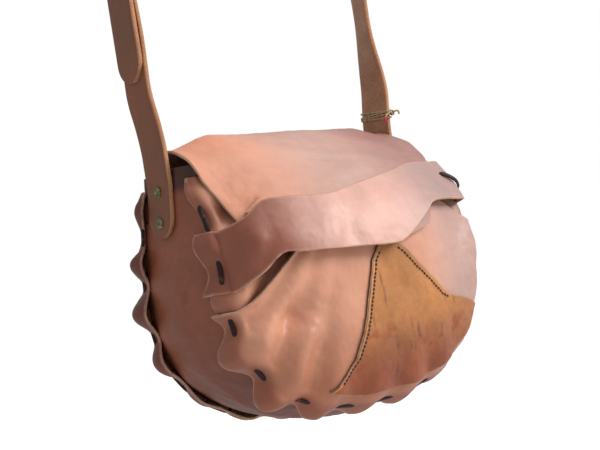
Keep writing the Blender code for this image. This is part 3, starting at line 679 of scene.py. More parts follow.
brass = metal_finish("antique_brass", (0.42, 0.36, 0.20), (0.13, 0.13, 0.07))
twine_fibre = fibre_finish("jute_fibre", (0.62, 0.46, 0.27), (0.33, 0.21, 0.10), 900)
red_tip = fibre_finish("red_cotton", (0.72, 0.03, 0.04), (0.42, 0.012, 0.02), 900)
TAN_SIDES = (grain, flesh, raw_edge)
STRAP_FINISHES = (bridle, bridle_flesh, bridle_edge)
ALL_EDGES = ("left", "right", "first", "last")


# The colours, as sRGB, at heights or places in the bag's frame: mostly the leather's dyes, with painted
# shade on the gusset, the band's left end and the panels' rims, and a painted highlight in the flap's
# middle.
GUSSET_DYE_AND_SHADE = linear((158, 92, 68))
GUSSET_LOW_DYE_AND_SHADE = linear((118, 56, 38))
GUSSET_TOP_SHADE = linear((84, 46, 38))
FLAP_LEFT_DYE = linear((232, 158, 126))
FLAP_MID_DYE_AND_HIGHLIGHT = linear((206, 164, 150))
FLAP_RIGHT_DYE = linear((168, 122, 114))
BAND_LEFT_SHADE = linear((148, 84, 64))
BAND_MID_DYE = linear((226, 172, 155))
BAND_RIGHT_DYE = linear((176, 142, 136))
POCKET_DYE = linear((224, 158, 128))
POCKET_LOW_DYE = linear((188, 120, 88))
POCKET_RIGHT_DYE = linear((200, 160, 148))
RIM_SHADE = linear((150, 84, 62))
OCHRE_DYE = linear((190, 124, 68))
OCHRE_LOW_DYE = linear((158, 80, 42))
STRAP_DYE = linear((142, 88, 62))
STAIN_DYE = linear((160, 72, 38))
BACK_RIM_SHADE = linear((118, 66, 52))
BORDER_DYE = linear((224, 152, 96))
BURNT_DYE = linear((96, 44, 30))


def blend_tints(first, second, share):
    return first + (second - first) * smooth(share)


# The gusset's reddish-brown dye with painted shade over it: darker towards the bottom, and a painted shadow
# along the top edge.
def gusset_colour(p):
    tint_here = blend_tints(GUSSET_LOW_DYE_AND_SHADE, GUSSET_DYE_AND_SHADE, p[2] / 0.10)
    return blend_tints(tint_here, GUSSET_TOP_SHADE, (p[2] - 0.196) / 0.012)


# The flap's dye, with a painted highlight in its pale, whitish middle.
def flap_colour(p):
    tint_here = blend_tints(FLAP_LEFT_DYE, FLAP_MID_DYE_AND_HIGHLIGHT, (p[0] + 0.10) / 0.10)
    return blend_tints(tint_here, FLAP_RIGHT_DYE, (p[0] - 0.01) / 0.09)


# The band's dye, with painted shade on its left end, which turns away from the light.
def band_colour(p):
    tint_here = blend_tints(BAND_LEFT_SHADE, BAND_MID_DYE, (p[0] + 0.10) / 0.07)
    return blend_tints(tint_here, BAND_RIGHT_DYE, (p[0] - 0.01) / 0.09)


def rim_share(p):
    """1 on a panel's rim, over the gusset, where the painted shade goes."""
    return smooth((p[1] - front_y(min(max(p[2], 0.0), SEAM_TOP)) + 0.010) / 0.011)


# Darker towards the bottom and greyer to the right, with painted shade on the rim where the panel rolls over
# the gusset.
def pocket_colour(p):
    tint_here = blend_tints(POCKET_LOW_DYE, POCKET_DYE, (p[2] - 0.02) / 0.07)
    tint_here = blend_tints(tint_here, POCKET_RIGHT_DYE, (p[0] - 0.04) / 0.07)
    return blend_tints(tint_here, RIM_SHADE, 0.75 * rim_share(p))


# Painted shade on the back's lobes, where they roll over the gusset.
def back_colour(p):
    on_rim = smooth((back_y(min(max(p[2], 0), SEAM_TOP)) + 0.006 - p[1]) / 0.01)
    return blend_tints(POCKET_LOW_DYE, BACK_RIM_SHADE, on_rim)


def patch_colour(p):
    tint_here = blend_tints(OCHRE_LOW_DYE, OCHRE_DYE, (p[2] - 0.02) / 0.06)
    spot = noise.noise(Vector((p[0] * 60, p[2] * 60, 4.0)))
    spot += 0.5 * noise.noise(Vector((p[0] * 160, p[2] * 160, 9.0)))
    stain = smooth((spot - 0.12) / 0.4) * smooth((0.085 - p[2]) / 0.04)
    tint_here = blend_tints(tint_here, STAIN_DYE, 0.75 * stain)
    z = p[2] - SEAM_RISE * max(0.0, 1 - p[2] / WIDEST_Z)
    border = p[0] - FRONT_SHIFT - patch_left(z)
    tint_here = blend_tints(tint_here, BORDER_DYE, smooth((0.0050 - border) / 0.0012) * 0.8)
    return blend_tints(tint_here, BURNT_DYE, smooth((0.0024 - border) / 0.0008) * 0.9)


def strap_colour(p):
    return STRAP_DYE


# A filler tint for pieces whose finishes don't read it.
def plain_colour(p):
    return RIM_SHADE


# ---- gusset


def outward_all(rows):
    """Away from the bag's middle."""
    return rows - np.array((0.0, 0.01, 0.11))


def gusset_rows():
    count = int(420 * FINE)
    across = int(64 * FINE)
    rows = []
    for i in range(count + 1):
        distance = GUSSET_LINE.length * i / count
        x, z, nx, nz = GUSSET_LINE.at(distance)
        level = min(z, SEAM_TOP)
        middle = (front_y(level) + back_y(level)) / 2
        half = (back_y(level) - front_y(level)) / 2
        row = []
        for j in range(across + 1):
            share = -1 + 2 * j / across
            puff = 1 + 0.35 * math.sin(distance * 21) * smooth((0.15 - z) / 0.1)
            out = bulge(level) * (1 - share * share) * puff
            y = middle + share * half
            row.append(moved((x + nx * out, y, z + nz * out), skew_weight(y, z)))
        rows.append(row)
    return rows


gusset = grid_object(
    "gusset_leather", gusset_rows(), (grain_dark, flesh, raw_edge), outward_all, LEATHER,
    ("left", "right"), gusset_colour, 0.0009, 2.0,
)
fit(gusset, "gusset", "bag")


# ---- panels


RIM_STATIONS = (0.004, 0.010, 0.018, 0.026, 0.034, 0.042, 0.050, 0.060, 0.070)


def panel_rows(first, last, layer, side, surface, mouth, lap, size, seed):
    """Rows of a panel gathered along its rim by the lace, each from its free edge to its mouth."""
    count = int(520 * FINE)
    columns = int(110 * FINE)
    rows = []
    for i in range(count + 1):
        share = i / count
        distance = SEAM.length * lerp(first, last, share)
        x, z, _, _ = SEAM.at(distance)
        h = hill(distance)
        amount = size * hill_size(distance, seed, side)
        reach = lap(z) + (0.0060 * h * amount - 0.0035 * (1 - h)) * size
        roll = h * amount
        control = [
            rim_point(distance, reach, layer + 0.0065 * roll, side),
            rim_point(distance, reach * 0.72, layer + 0.0105 * roll, side),
            rim_point(distance, LACE_INSET, layer + 0.0095 * roll, side),
            rim_point(distance, 0.0008, layer + 0.0052 * roll - 0.0006 * (1 - h), side),
        ]
        weight = (1 - side) / 2
        corner = rim_point(distance, 0.0, layer + 0.001 * roll - 0.0012 * (1 - h), side)
        depth = Vector((mouth(share)[0] - x, mouth(share)[1] - z)).length
        face_y = surface(x, z)
        control[-1].y = lerp(control[-1].y, face_y, 0.55)
        plain = moved((x, 0, z), weight)
        lead = Vector((corner.x, 0, corner.z)) - Vector((plain.x, 0, plain.z))
        stations = [(min(inward / depth, 1.0), inward, math.exp(-inward / 0.008)) for inward in RIM_STATIONS]
        for part in (0.55, 0.7, 0.85, 1.0):
            t = lerp(min(0.080 / depth, 0.95), 1.0, (part - 0.55) / 0.45)
            stations.append((t, t * depth, 0.0))
        for t, inward, pull in stations:
            px = lerp(x, mouth(share)[0], t)
            pz = lerp(z, mouth(share)[1], t)
            point = moved((px, surface(px, pz), pz), weight)
            point += lead * pull
            point.y += side * fold(distance, inward, seed, side) * size
            point.y += dimple(px, pz) * (side < 0)
            control.append(point)
        rows.append(spline(control, columns))
    return rows


def panel_mouth(share):
    return lerp(-0.080, 0.080, share), 0.203 - 0.006 * math.sin(math.pi * share)


def pocket_top(x):
    return along([(-0.132, 0.100), (-0.099, 0.136), (-0.030, 0.160), (0.060, 0.168), (0.132, 0.160)], x)


def pocket_mouth(share):
    x = lerp(-0.075, 0.085, share)
    return x, pocket_top(x)


def back_mouth(share):
    return lerp(-0.085, 0.085, share), 0.2165


def front_lap(z):
    return lerp(0.014, 0.009, smooth((z - 0.120) / 0.080))


def pocket_lap(z):
    return 0.018


def back_lap(z):
    return lerp(0.018, 0.009, smooth((z - 0.120) / 0.040))


front = grid_object(
    "front_leather", panel_rows(0, 1, FIRST_LAYER, -1, panel_y, panel_mouth, front_lap, 0.8, 1.0),
    TAN_SIDES, outward_all, LEATHER, ALL_EDGES, pocket_colour, 0.0008, 4.0,
)
pocket = grid_object(
    "pocket_leather",
    panel_rows(*POCKET_ENDS, SECOND_LAYER, -1, pocket_y, pocket_mouth, pocket_lap, 1.0, 1.0),
    TAN_SIDES, outward_all, LEATHER, ALL_EDGES, pocket_colour, 0.0009, 7.0,
)
back = grid_object(
    "back_leather", panel_rows(0, 1, FIRST_LAYER, 1, back_panel_y, back_mouth, back_lap, 1.0, 12.0),
    TAN_SIDES, outward_all, LEATHER, ALL_EDGES, back_colour, 0.0009, 9.0,
)
for made, node in ((front, "front_panel"), (pocket, "front_pocket"), (back, "back_panel")):
    fit(made, node, "bag")


# ---- patch and stitching


def surface_tree(obj):
    """A tree for finding points on a piece's plain sheet, in the row frame."""
    mesh = obj.data
    return BVHTree.FromPolygons([v.co for v in mesh.vertices], [p.vertices for p in mesh.polygons])


POCKET_TREE = surface_tree(pocket)


def on_surface(tree, x, z, lift):
    """The point of a front surface straight behind (x, z), raised by lift, all in the bag's frame."""
    start = Vector(place((x, -0.30, z)))
    hit, normal, _, _ = tree.ray_cast(start, Vector((0, 1, 0)))
    if hit is None:
        hit, normal, _, _ = tree.find_nearest(Vector(place((x, -0.08, z))))
    if normal.y > 0:
        normal = -normal
    return hit + Vector((0, STRAP_Y, ORIGIN_Z)) + normal * lift


def patch_left(z):
    corners = [(0.002, -0.085), (0.014, -0.062), (0.035, -0.041), (0.059, -0.031)]
    return along([*corners, (0.119, -0.013), (0.136, 0.001)], z)


def patch_right(z):
    corners = [(0.052, 0.132), (0.064, 0.116), (0.070, 0.098), (0.0735, 0.082), (0.080, 0.070)]
    return along([*corners, (0.098, 0.054), (0.126, 0.027), (0.136, 0.013)], z)


def patch_limits(z):
    seam = half_width(max(z, 0.002))
    left = max(patch_left(z), -seam + 0.002)
    right = min(patch_right(z), seam - 0.001)
    return left, right


def patch_rows():
    count = int(190 * FINE)
    columns = int(200 * FINE)
    rows = []
    for i in range(count + 1):
        z = lerp(0.0015, 0.134, i / count)
        left, right = patch_limits(z)
        row = []
        for j in range(columns + 1):
            at = moved((lerp(left, right, j / columns), 0, z))
            row.append(on_surface(POCKET_TREE, at.x, at.z, LEATHER / 2 + 0.0011))
        rows.append(row)
    return rows


def forward(rows):
    return np.broadcast_to(np.array((0.0, -1.0, 0.0)), rows.shape)


patch = grid_object(
    "patch_leather", patch_rows(), (ochre, flesh, dark_edge), forward, PATCH_THICK,
    ("left", "right", "last"), patch_colour, 0.0003, 11.0,
)
fit(patch, "front_patch", "bag")
PATCH_TREE = surface_tree(patch)


def path_lengths(points):
    marks = [0.0]
    for a, b in zip(points, points[1:]):
        marks.append(marks[-1] + (Vector(b) - Vector(a)).length)
    return marks


def stitch_row(name, outline, node):
    """Short stitches a few millimetres inside an edge of the patch."""
    marks = path_lengths([(x, 0, z) for x, z in outline])
    shape = Shape()
    step = 0.0037
    at = 0.002
    while at < marks[-1] - 0.004:
        ends = []
        for offset in (0.0, 0.5, 1.0):
            d = at + 0.0027 * offset
            x = float(np.interp(d, marks, [p[0] for p in outline]))
            z = float(np.interp(d, marks, [p[1] for p in outline]))
            spot = moved((x, 0, z))
            lift = 0.0009 + (0.0007 if offset == 0.5 else 0.0001)
            ends.append(on_surface(PATCH_TREE, spot.x, spot.z, lift))
        tube(shape, spline(ends, 8).tolist(), Vector((0, -1, 0)), 0.0007, 0.0006, 8, taper=2)
        at += step
    made = shape.object(name, (thread,), plain_colour)
    fit(made, node, "bag")


THREAD_INSET = 0.0048
left_line = [(patch_left(z) + THREAD_INSET, z) for z in np.linspace(0.014, 0.128, 60)]
right_line = [(patch_right(z) - THREAD_INSET, z - 0.002) for z in np.linspace(0.130, 0.074, 40)]
stitch_row("patch_stitches_left", left_line, "patch_thread_left")
stitch_row("patch_stitches_right", right_line, "patch_thread_right")


# ---- closure band


def band_bottom(x):
    heights = [(-0.130, 0.112), (-0.104, 0.136), (0.013, 0.130), (0.032, 0.140)]
    return along([*heights, (0.068, 0.164), (0.130, 0.162)], x)


def band_top(x):
    heights = [(-0.131, 0.160), (-0.099, 0.182), (-0.041, 0.179), (0.045, 0.196)]
    return along([*heights, (0.068, 0.202), (0.130, 0.202)], x)


def band_end(right, inset, share):
    side = 1 if right else -1
    z = lerp(band_bottom(side * 0.13), band_top(side * 0.13), share)
    distance = seam_distance(z, right)
    roll = hill(distance) * hill_size(distance, 1.0)
    lift = 0.0055 * roll * smooth((inset + 0.004) / 0.010)
    reach = inset + (0.005 * roll if inset > 0.008 else 0.0)
    return rim_point(distance, reach, SECOND_LAYER + lift, -1)


def band_rows():
    count = int(56 * FINE)
    columns = int(420 * FINE)
    rows = []
    for i in range(count + 1):
        share = i / count
        control = [band_end(False, inset, share) for inset in (0.018, 0.012, LACE_INSET, 0.0, -0.0045)]
        for k in range(15):
            x = lerp(-0.118, 0.116, k / 14)
            z = lerp(band_bottom(x), band_top(x), share)
            y = band_y(x, z)
            distance = seam_distance(z, x > 0)
            depth = half_width(z) - abs(x)
            y -= 0.8 * fold(distance, depth, 1.0)
            y -= 0.0035 * (1 - share) ** 2 * smooth(depth / 0.04)
            y += 0.0030 * gauss(x + 0.030 - 0.5 * (z - 0.155), 0.010)
            control.append(moved((x, y, z)))
        control += [band_end(True, inset, share) for inset in (-0.0045, 0.0, LACE_INSET, 0.012)]
        rows.append(spline(control, columns))
    return rows


band = grid_object(
    "band_leather", band_rows(), TAN_SIDES, outward_all, BAND_THICK,
    ALL_EDGES, band_colour, 0.0007, 13.0,
)
fit(band, "closure_band", "bag")


# ---- flap


def flap_left(share):
    edge = [(0, -0.112), (0.25, -0.1205), (0.35, -0.1260), (0.45, -0.1280), (0.6, -0.120), (1, -0.090)]
    return along(edge, share)


def flap_right(share):
    return along([(0, 0.110), (0.25, 0.1215), (0.33, 0.116), (0.55, 0.116), (0.7, 0.100), (1, 0.058)], share)


def flap_section(x):
    foot_z = along([(-0.09, 0.142), (0.018, 0.131), (0.059, 0.144), (0.080, 0.165)], x)
    tuck_z = band_top(x) + 0.006
    tucked = [(flap_lower_y(x, lerp(tuck_z, foot_z, t)), lerp(tuck_z, foot_z, t)) for t in (0, 0.3, 0.65, 1)]
    return [
        FLAP_ROOT,
        (0.042, 0.238),
        (CREST_Y, CREST_Z),
        (-0.020, 0.236),
        (lerp(-0.020, tucked[0][0], 0.55), lerp(0.236, tuck_z, 0.5)),
        *tucked,
    ]


def flap_rows():
    count = int(190 * FINE)
    columns = int(200 * FINE)
    sections = []
    for k in range(FLAP_SAMPLES + 1):
        x = lerp(-FLAP_REACH, FLAP_REACH, k / FLAP_SAMPLES)
        sections.append(spline([(0, y, z) for y, z in flap_section(x)], count + 1))
    sections = np.array(sections)
    rows = []
    for i in range(count + 1):
        share = i / count
        row = []
        for j in range(columns + 1):
            x = lerp(flap_left(share), flap_right(share), j / columns)
            k = min(max((x + FLAP_REACH) / (2 * FLAP_REACH) * FLAP_SAMPLES, 0), FLAP_SAMPLES - 0.001)
            y, z = lerp(sections[int(k), i], sections[int(k) + 1, i], k - int(k))[1:]
            edge = 1 - abs(2 * j / columns - 1)
            exposed = smooth((share - 0.22) / 0.12) * (1 - smooth((share - 0.58) / 0.06))
            crease = gauss(z - 0.222 + 0.22 * (x + 0.02), 0.0045)
            crease = crease * smooth((x + 0.06) / 0.03) * smooth((0.04 - x) / 0.03)
            sway = 0.0022 * math.sin(x * 42 + 2.2) * smooth(edge / 0.3)
            droop = smooth((share - 0.10) / 0.15) * (1 - smooth((share - 0.60) / 0.08))
            z -= droop * (0.012 * smooth((-x - 0.075) / 0.045) + 0.008 * smooth((x - 0.085) / 0.035))
            y -= exposed * (0.0020 * crease + sway)
            z += exposed * 0.0012 * math.sin(x * 55) + 0.0018 * smooth((0.10 - edge) / 0.10) * exposed
            row.append(moved((x, y, z), smooth((CREST_Y - y) / 0.055)))
        rows.append(row)
    return rows


flap = grid_object(
    "flap_leather", flap_rows(), TAN_SIDES, outward_all, LEATHER,
    ("left", "right", "last"), flap_colour, 0.0007, 15.0,
)
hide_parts("flap")
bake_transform(flap)


# ---- lace


def add_band_loop(shape):
    """The lace's last stitch, which comes out through the face of the band's right end."""
    tree = surface_tree(band)
    spots = ((0.1165, 0.1880, -0.004), (0.1185, 0.1870, 0.0012), (0.1250, 0.1835, 0.0026))
    spots += ((0.1320, 0.1790, 0.0026), (0.1375, 0.1745, 0.0012), (0.1390, 0.1730, -0.004))
    points = spline([on_surface(tree, x, z, lift + 0.001) for x, z, lift in spots], 30)
    tube(shape, [Vector(p) for p in points], Vector((0.3, -1, 0)), 0.0021, 0.0011, 14)


LACE_LEVELS = (  # place along a stitch, height over the leather
    (-1.06, -0.0035), (-0.98, 0.0010), (-0.72, 0.0024), (0, 0.0023),
    (0.72, 0.0024), (0.98, 0.0010), (1.06, -0.0035),
)


def make_lace(name, side, layer, node, seed):
    """Flat thong showing between the gathers, diving into its slots at both ends."""
    shape = Shape()
    for i in range(STITCHES):
        middle = LACE_START + PITCH * (i + 0.5)
        wobble = noise.noise(Vector((i * 1.7, seed, 0.5)))
        outer = layer
        if side < 0 and not POCKET_ENDS[0] <= middle / SEAM.length <= POCKET_ENDS[1]:
            outer = SECOND_LAYER
        control = []
        for share, level in LACE_LEVELS:
            inset = LACE_INSET + 0.0022 * wobble * share
            control.append(rim_point(middle + LACE_HALF * share, inset, outer + level, side))
        points = [Vector(p) for p in spline(control, 40)]
        normal = rim_normal(middle, LACE_INSET, side)
        tube(shape, points, normal, 0.0023, 0.0011, 14)
    if side < 0:
        add_band_loop(shape)
    made = shape.object(name, (thong,), plain_colour)
    fit(made, node, "bag")


make_lace("lace_front_thong", -1, SECOND_LAYER, "lace_front", 3.0)
make_lace("lace_back_thong", 1, FIRST_LAYER, "lace_back", 8.0)


# ---- straps


STRAP_SECTION = (
    [(a, 1.0) for a in (-0.95, -0.6, -0.2, 0.2, 0.6, 0.95)]
    + [(0.99, 0.78), (1.0, 0.3), (1.0, -0.3), (0.99, -0.78)]
    + [(a, -1.0) for a in (0.95, 0.6, 0.2, -0.2, -0.6, -0.95)]
    + [(-0.99, -0.78), (-1.0, -0.3), (-1.0, 0.3), (-0.99, 0.78)]
)
STRAP_SIDES = [0] * 5 + [2] * 5 + [1] * 5 + [2] * 5
STRAP_TWIST = -0.42  # radians


def strap_section(centre, outward, width, thick, twist=0.0):
    """A cross-section of a strap, turned by twist about the upright direction."""
    outward = Vector(outward).normalized()
    wide = Vector((0, 1, 0))
    if twist:
        turn = Matrix.Rotation(twist, 3, "Z")
        outward = turn @ outward
        wide = turn @ wide
    points = []
    for a, b in STRAP_SECTION:
        points.append(Vector(centre) + wide * (a * width / 2) + outward * (b * thick / 2))
    return points


def strap_twist(z, low, high):
    """The far strap turns its edge to the front as it rises, and straightens again below the arch."""
    return STRAP_TWIST * smooth((z - low) / 0.09) * smooth((high - z) / 0.09)


def tab_x(z):
    level = min(z, SEAM_TOP)
    return half_width(level) + bulge(level) + LEATHER / 2 + 2 * GAP + STRAP_THICK / 2


def strap_side_x(z):
    return lerp(tab_x(TAB_TOP), STRAP_X, smooth((z - SWING_Z) / 0.06))


def upright(side, top):
    """Stations (x, z, width) of one upright, from the rounded end on the gusset to the top."""
    radius = STRAP_WIDTH / 2
    stations = []
    for i in range(1, 13):
        angle = math.pi / 2 * i / 12
        stations.append((TAB_BOTTOM + radius * (1 - math.cos(angle)), STRAP_WIDTH * math.sin(angle)))
    steps = 60
    for i in range(1, steps + 1):
        stations.append((lerp(TAB_BOTTOM + radius, top, i / steps), STRAP_WIDTH))
    made = []
    for z, width in stations:
        x = tab_x(z) if z < TAB_TOP else strap_side_x(z)
        wave = 0.0006 * math.sin(z * 70) * smooth((z - 0.25) / 0.03)
        made.append((side * (x + wave), z, width))
    return made


def billet_offset(z):
    pairs = [(BILLET_TIP, 0.0043), (0.385, 0.0043), (BUCKLE_Z - 0.004, 0.0088)]
    pairs += [(BUCKLE_Z + BUCKLE_RISE, 0.0047), (BUCKLE_Z + 0.068, 0.0)]
    for (t0, v0), (t1, v1) in zip(pairs, pairs[1:]):
        if z <= t1:
            return lerp(v0, v1, smooth((z - t0) / (t1 - t0)))
    return 0.0


def billet_section(z, width):
    return strap_section((-STRAP_X - billet_offset(z), STRAP_Y, z), (-1, 0, 0), width, STRAP_THICK)


def strap_right():
    loops = []
    for x, z, width in upright(1, ARCH_Z):
        twist = strap_twist(z, TWIST_START, ARCH_Z)
        loops.append(strap_section((x, STRAP_Y, z), (1, 0, 0), width, STRAP_THICK, twist))
    arch = 84
    for i in range(1, arch + 1):
        angle = math.pi * i / arch
        out = (math.cos(angle), 0, math.sin(angle))
        centre = (ARCH_RADIUS * out[0], STRAP_Y, ARCH_Z + ARCH_RADIUS * out[2])
        loops.append(strap_section(centre, out, STRAP_WIDTH, STRAP_THICK))
    tip = STRAP_WIDTH / 2
    steps = 70
    for i in range(1, steps + 1):
        z = lerp(ARCH_Z, BILLET_TIP + tip, i / steps)
        loops.append(billet_section(z, STRAP_WIDTH))
    for i in range(1, 13):
        angle = math.pi / 2 * i / 12.4
        z = BILLET_TIP + tip - tip * math.sin(angle)
        loops.append(billet_section(z, STRAP_WIDTH * math.cos(angle)))
    shape = Shape()
    shape.add_loops(loops, STRAP_SIDES)
    return shape.object("strap_right_leather", STRAP_FINISHES, strap_colour)


CHAPE_THICK = 0.0032
FOLD_RADIUS = BAR_RADIUS + 2 * GAP + CHAPE_THICK / 2
CHAPE_END = 0.372


def strap_left():
    loops = []
    for x, z, width in upright(-1, 0.380):
        thick = lerp(STRAP_THICK, CHAPE_THICK, smooth((z - 0.30) / 0.07))
        loops.append(strap_section((x, STRAP_Y, z), (-1, 0, 0), width, thick))
    path = [(lerp(0, FOLD_RADIUS, smooth(i / 10)), lerp(0.380, BUCKLE_Z, i / 10)) for i in range(1, 10)]
    for i in range(25):
        angle = math.pi * i / 24
        path.append((FOLD_RADIUS * math.cos(angle), BUCKLE_Z + FOLD_RADIUS * math.sin(angle)))
    for i in range(1, 11):
        offset = lerp(-FOLD_RADIUS, -CHAPE_THICK - GAP, smooth(i / 10))
        path.append((offset, lerp(BUCKLE_Z, CHAPE_END, i / 10)))
    for i, (offset, z) in enumerate(path):
        before = path[i - 1] if i else (0, 0.376)
        after = path[i + 1] if i + 1 < len(path) else (path[i][0], path[i][1] - 0.01)
        tangent = Vector((-(after[0] - before[0]), 0, after[1] - before[1])).normalized()
        outward = tangent.cross(Vector((0, 1, 0)))
        loops.append(strap_section((-STRAP_X - offset, STRAP_Y, z), outward, STRAP_WIDTH, CHAPE_THICK))
    shape = Shape()
    shape.add_loops(loops, STRAP_SIDES)
    return shape.object("strap_left_leather", STRAP_FINISHES, strap_colour)


right_strap = strap_right()
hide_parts("strap_end_right", "strap_long")
left_strap = strap_left()
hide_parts("strap_end_left", "strap_short")
for made in (right_strap, left_strap):
    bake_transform(made)


# ---- rivets, buckle, keeper


def make_rivet(side, place_name, z):
    """A double-cap rivet: a domed antique cap with a rolled rim."""
    base = tab_x(z) + STRAP_THICK / 2 + 0.0001
    inner = tab_x(z) - STRAP_THICK / 2 - LEATHER - 5 * GAP
    outline = [(inner - 0.0012, 0.0015), (inner - 0.0011, 0.0036), (inner - 0.0003, 0.0041), (inner, 0.0016)]
    outline += [(base - 0.0004, 0.0016), (base - 0.0002, 0.0046), (base + 0.0002, 0.0050)]
    outline += [(base + 0.0007, 0.0050), (base + 0.0011, 0.0046)]
    for i in range(1, 9):
        angle = math.pi / 2 * i / 8.6
        outline.append((base + 0.0010 + 0.0013 * math.sin(angle), 0.0044 * math.cos(angle)))
    axis = Vector((side, 0, 0))
    loops = []
    for distance, radius in outline:
        centre = Vector((0, STRAP_Y, z)) + axis * distance
        loops.append(ring_about(centre, axis, Vector((0, 0, 1)), radius, radius, 36))
    shape = Shape()
    shape.add_loops(loops)
    made = shape.object("rivet_cap_" + place_name, (brass,), plain_colour)
    fit(made, "rivet_" + place_name, "bag")


for side, word in ((-1, "left"), (1, "right")):
    for z, level in zip(RIVET_HEIGHTS, ("lower", "upper")):
        make_rivet(side, f"{word}_{level}", z)


TOP_BAR_OFFSET = 0.0094


def buckle_point(offset, y, z):
    return Vector((-STRAP_X - offset, STRAP_Y + y, z))


def make_buckle():
    half = STRAP_WIDTH / 2 + 0.0045
    corner = 0.006
    control = []
    for sign_y, sign_z, start in ((1, 1, 0), (-1, 1, 90), (-1, -1, 180), (1, -1, 270)):
        for i in range(8):
            angle = math.radians(start + 90 * i / 7)
            y = sign_y * (half - corner) + corner * math.cos(angle)
            height = sign_z * (BUCKLE_RISE / 2 - corner) + corner * math.sin(angle) + BUCKLE_RISE / 2
            control.append(buckle_point(TOP_BAR_OFFSET * height / BUCKLE_RISE, y, BUCKLE_Z + height))
    shape = Shape()
    tube(shape, control, Vector((-1, 0, 0.2)), BAR_RADIUS, BAR_RADIUS, 20, closed=True)
    made = shape.object("buckle_bar", (brass,), plain_colour)
    fit(made, "buckle_frame", "strap")


make_buckle()


def make_keeper():
    thick = 0.0022
    inner = -0.0056 - GAP - thick / 2
    outer = 0.0080 + GAP + thick / 2
    half = STRAP_WIDTH / 2 + GAP + thick / 2
    middle = (inner + outer) / 2
    reach = (outer - inner) / 2
    loops = []
    count = 64
    for i in range(count):
        angle = math.tau * i / count
        c, s = math.cos(angle), math.sin(angle)
        size = (abs(c) ** 9 + abs(s) ** 9) ** (-1 / 9)
        centre = buckle_point(middle + reach * c * size, half * s * size, KEEPER_Z)
        normal = Vector((-(c**7) / reach, s**7 / half, 0)).normalized()
        section = []
        for a, b in STRAP_SECTION:
            section.append(centre + Vector((0, 0, 1)) * (a * 0.006) + normal * (b * thick / 2))
        loops.append(section)
    shape = Shape()
    shape.add_loops(loops, STRAP_SIDES, closed=True)
    made = shape.object("keeper_leather", STRAP_FINISHES, strap_colour)
    fit(made, "keeper_loop", "strap")


make_keeper()
for node in ("buckle_prong", "chape_rivet_front", "chape_rivet_back"):
    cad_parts[node].data.materials[0] = brass


# ---- twine


TWINE_ENDS = (  # the two loose ends, from the knot
    ((0, 0, 0), (0.002, -0.003, 0.001), (0.005, -0.004, 0.001), (0.007, -0.003, -0.002)),
    ((0, 0, 0), (-0.006, -0.004, 0.000), (-0.013, -0.006, -0.003), (-0.017, -0.007, -0.006)),
)


def make_twine():
    radius = 0.0009
    half_y = STRAP_WIDTH / 2 + radius
    half_x = STRAP_THICK / 2 + radius
    steps = 40
    turns = 4.2
    path = []
    for i in range(int(turns * steps) + 1):
        angle = math.tau * i / steps
        c, s = math.cos(angle), math.sin(angle)
        reach = (abs(c) ** 8 + abs(s) ** 8) ** (-1 / 8)
        tilt = 0.1 + 0.06 * math.sin(i / steps * 2.2)
        z = TWINE_Z + 0.001 + 0.0023 * i / steps + tilt * half_y * s * reach
        path.append(Vector((strap_side_x(z) + half_x * c * reach, STRAP_Y + half_y * s * reach, z)))
    front_y_of_strap = STRAP_Y - STRAP_WIDTH / 2
    knot = Vector((STRAP_X - 0.001, front_y_of_strap - 0.0022, TWINE_Z + 0.004))
    ends = [[knot + Vector(offset) for offset in end] for end in TWINE_ENDS]
    lumps = []
    for i in range(30):
        angle = math.tau * i / 14
        out = -0.0006 + 0.0012 * math.sin(angle * 0.5)
        lumps.append(knot + Vector((0.0020 * math.cos(angle), out, 0.0020 * math.sin(angle))))
    shape = Shape()
    runs = [path, spline(ends[0], 26).tolist(), spline(ends[1], 24).tolist(), lumps]
    for run in runs:
        run = [Vector(p) for p in run]
        dense = spline(run, len(run) * 3)
        for strand in (0, 1):
            twisted = []
            for i, p in enumerate(dense):
                before, after = dense[max(i - 1, 0)], dense[min(i + 1, len(dense) - 1)]
                tangent = Vector(after - before).normalized()
                side = tangent.cross(Vector((0, 0.3, 1))).normalized()
                other = side.cross(tangent)
                turn = i * 0.55 + strand * math.pi
                twisted.append(Vector(p) + (side * math.cos(turn) + other * math.sin(turn)) * 0.00042)
            tube(shape, twisted, Vector((0, 0.3, 1)), 0.00055, 0.00055, 6)
    made = shape.object("twine_turns", (twine_fibre,), plain_colour)
    fit(made, "twine_wrap", "strap")
    tip = Shape()
    start = ends[1][-1] + Vector((0, 0, 0.0012))
    drop = [start + Vector((-0.0003 * i, -0.0002 * i, -0.0010 * i)) for i in range(6)]
    tube(tip, drop, Vector((0, 1, 0)), 0.0014, 0.0014, 10, taper=2)
    red = tip.object("twine_red_tip", (red_tip,), plain_colour)
    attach(red, "strap")


make_twine()


# ---- camera, light and floor


def add_area(name, place_at, aim, size, power):
    light = bpy.data.lights.new(name, "AREA")
    light.shape = "RECTANGLE"
    light.size, light.size_y = size
    light.energy = power
    made = link(name, light)
    made.location = place_at
    made.rotation_mode = "QUATERNION"
    made.rotation_quaternion = (Vector(aim) - Vector(place_at)).to_track_quat("-Z", "Y")


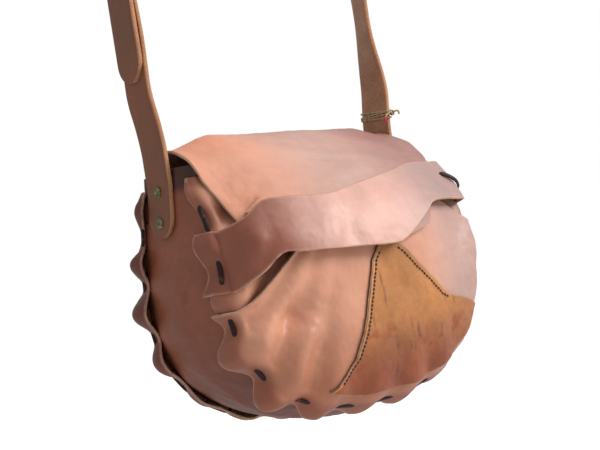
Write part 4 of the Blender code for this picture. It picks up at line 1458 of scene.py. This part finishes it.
def add_camera():
    """At the photograph's angle: round to the left, a little up, and rolled."""
    turn, pitch, roll = map(math.radians, (CAMERA_TURN, CAMERA_PITCH, CAMERA_ROLL))
    ahead = Vector((math.sin(turn), math.cos(turn), 0))
    right = Vector((math.cos(turn), -math.sin(turn), 0))
    up = Vector((0, 0, 1))
    target = Vector(place((0, 0, 0.115)))
    look = ahead * math.cos(pitch) + up * math.sin(pitch)
    over = up * math.cos(pitch) - ahead * math.sin(pitch)
    cam_up = over * math.cos(roll) + right * math.sin(roll)
    cam_right = right * math.cos(roll) - over * math.sin(roll)
    data = bpy.data.cameras.new("camera")
    data.sensor_width = 36
    data.lens = CAMERA_LENS
    data.clip_start = 0.05
    data.clip_end = 30
    made = link("camera", data)
    rotation = Matrix((cam_right, cam_up, -look)).transposed()
    made.matrix_world = Matrix.Translation(target - ahead * 0.9) @ rotation.to_4x4()
    bpy.context.scene.camera = made


def add_floor():
    low = float(place((0, 0, FLOOR_Z))[2])
    size = 60.0
    corners = [(-size, -size, low), (size, -size, low), (size, size, low), (-size, size, low)]
    mesh = bpy.data.meshes.new("floor")
    mesh.from_pydata(corners, [], [(0, 1, 2, 3)])
    made, tree, shader = shader_tree("pale_floor")
    shader.inputs["Base Color"].default_value = (0.80, 0.80, 0.80, 1)
    shader.inputs["Roughness"].default_value = 0.9
    shader.inputs["Emission Color"].default_value = (1, 1, 1, 1)
    seen_by = tree.nodes.new("ShaderNodeLightPath").outputs["Is Camera Ray"]
    tree.links.new(map_range(tree, seen_by, 0, 1, 0.0, FLOOR_GLOW), shader.inputs["Emission Strength"])
    mesh.materials.append(made)
    link("floor", mesh)


world = bpy.data.worlds.new("studio")
world.use_nodes = True
sky = world.node_tree
background = sky.nodes["Background"]
background.inputs["Color"].default_value = (1, 1, 1, 1)
camera_ray = sky.nodes.new("ShaderNodeLightPath").outputs["Is Camera Ray"]
sky.links.new(map_range(sky, camera_ray, 0, 1, SKY_LIGHT, 1.0), background.inputs["Strength"])
bpy.context.scene.world = world
bpy.context.scene.view_settings.view_transform = "Standard"

MIDDLE = Vector(place((0, 0, 0.12)))
add_area("key", MIDDLE + Vector((1.3, -1.5, 1.1)), MIDDLE, (1.0, 1.0), KEY_POWER)
add_area("top", MIDDLE + Vector((0.3, -0.5, 1.6)), MIDDLE, (1.2, 1.2), TOP_POWER)
add_camera()
add_floor()
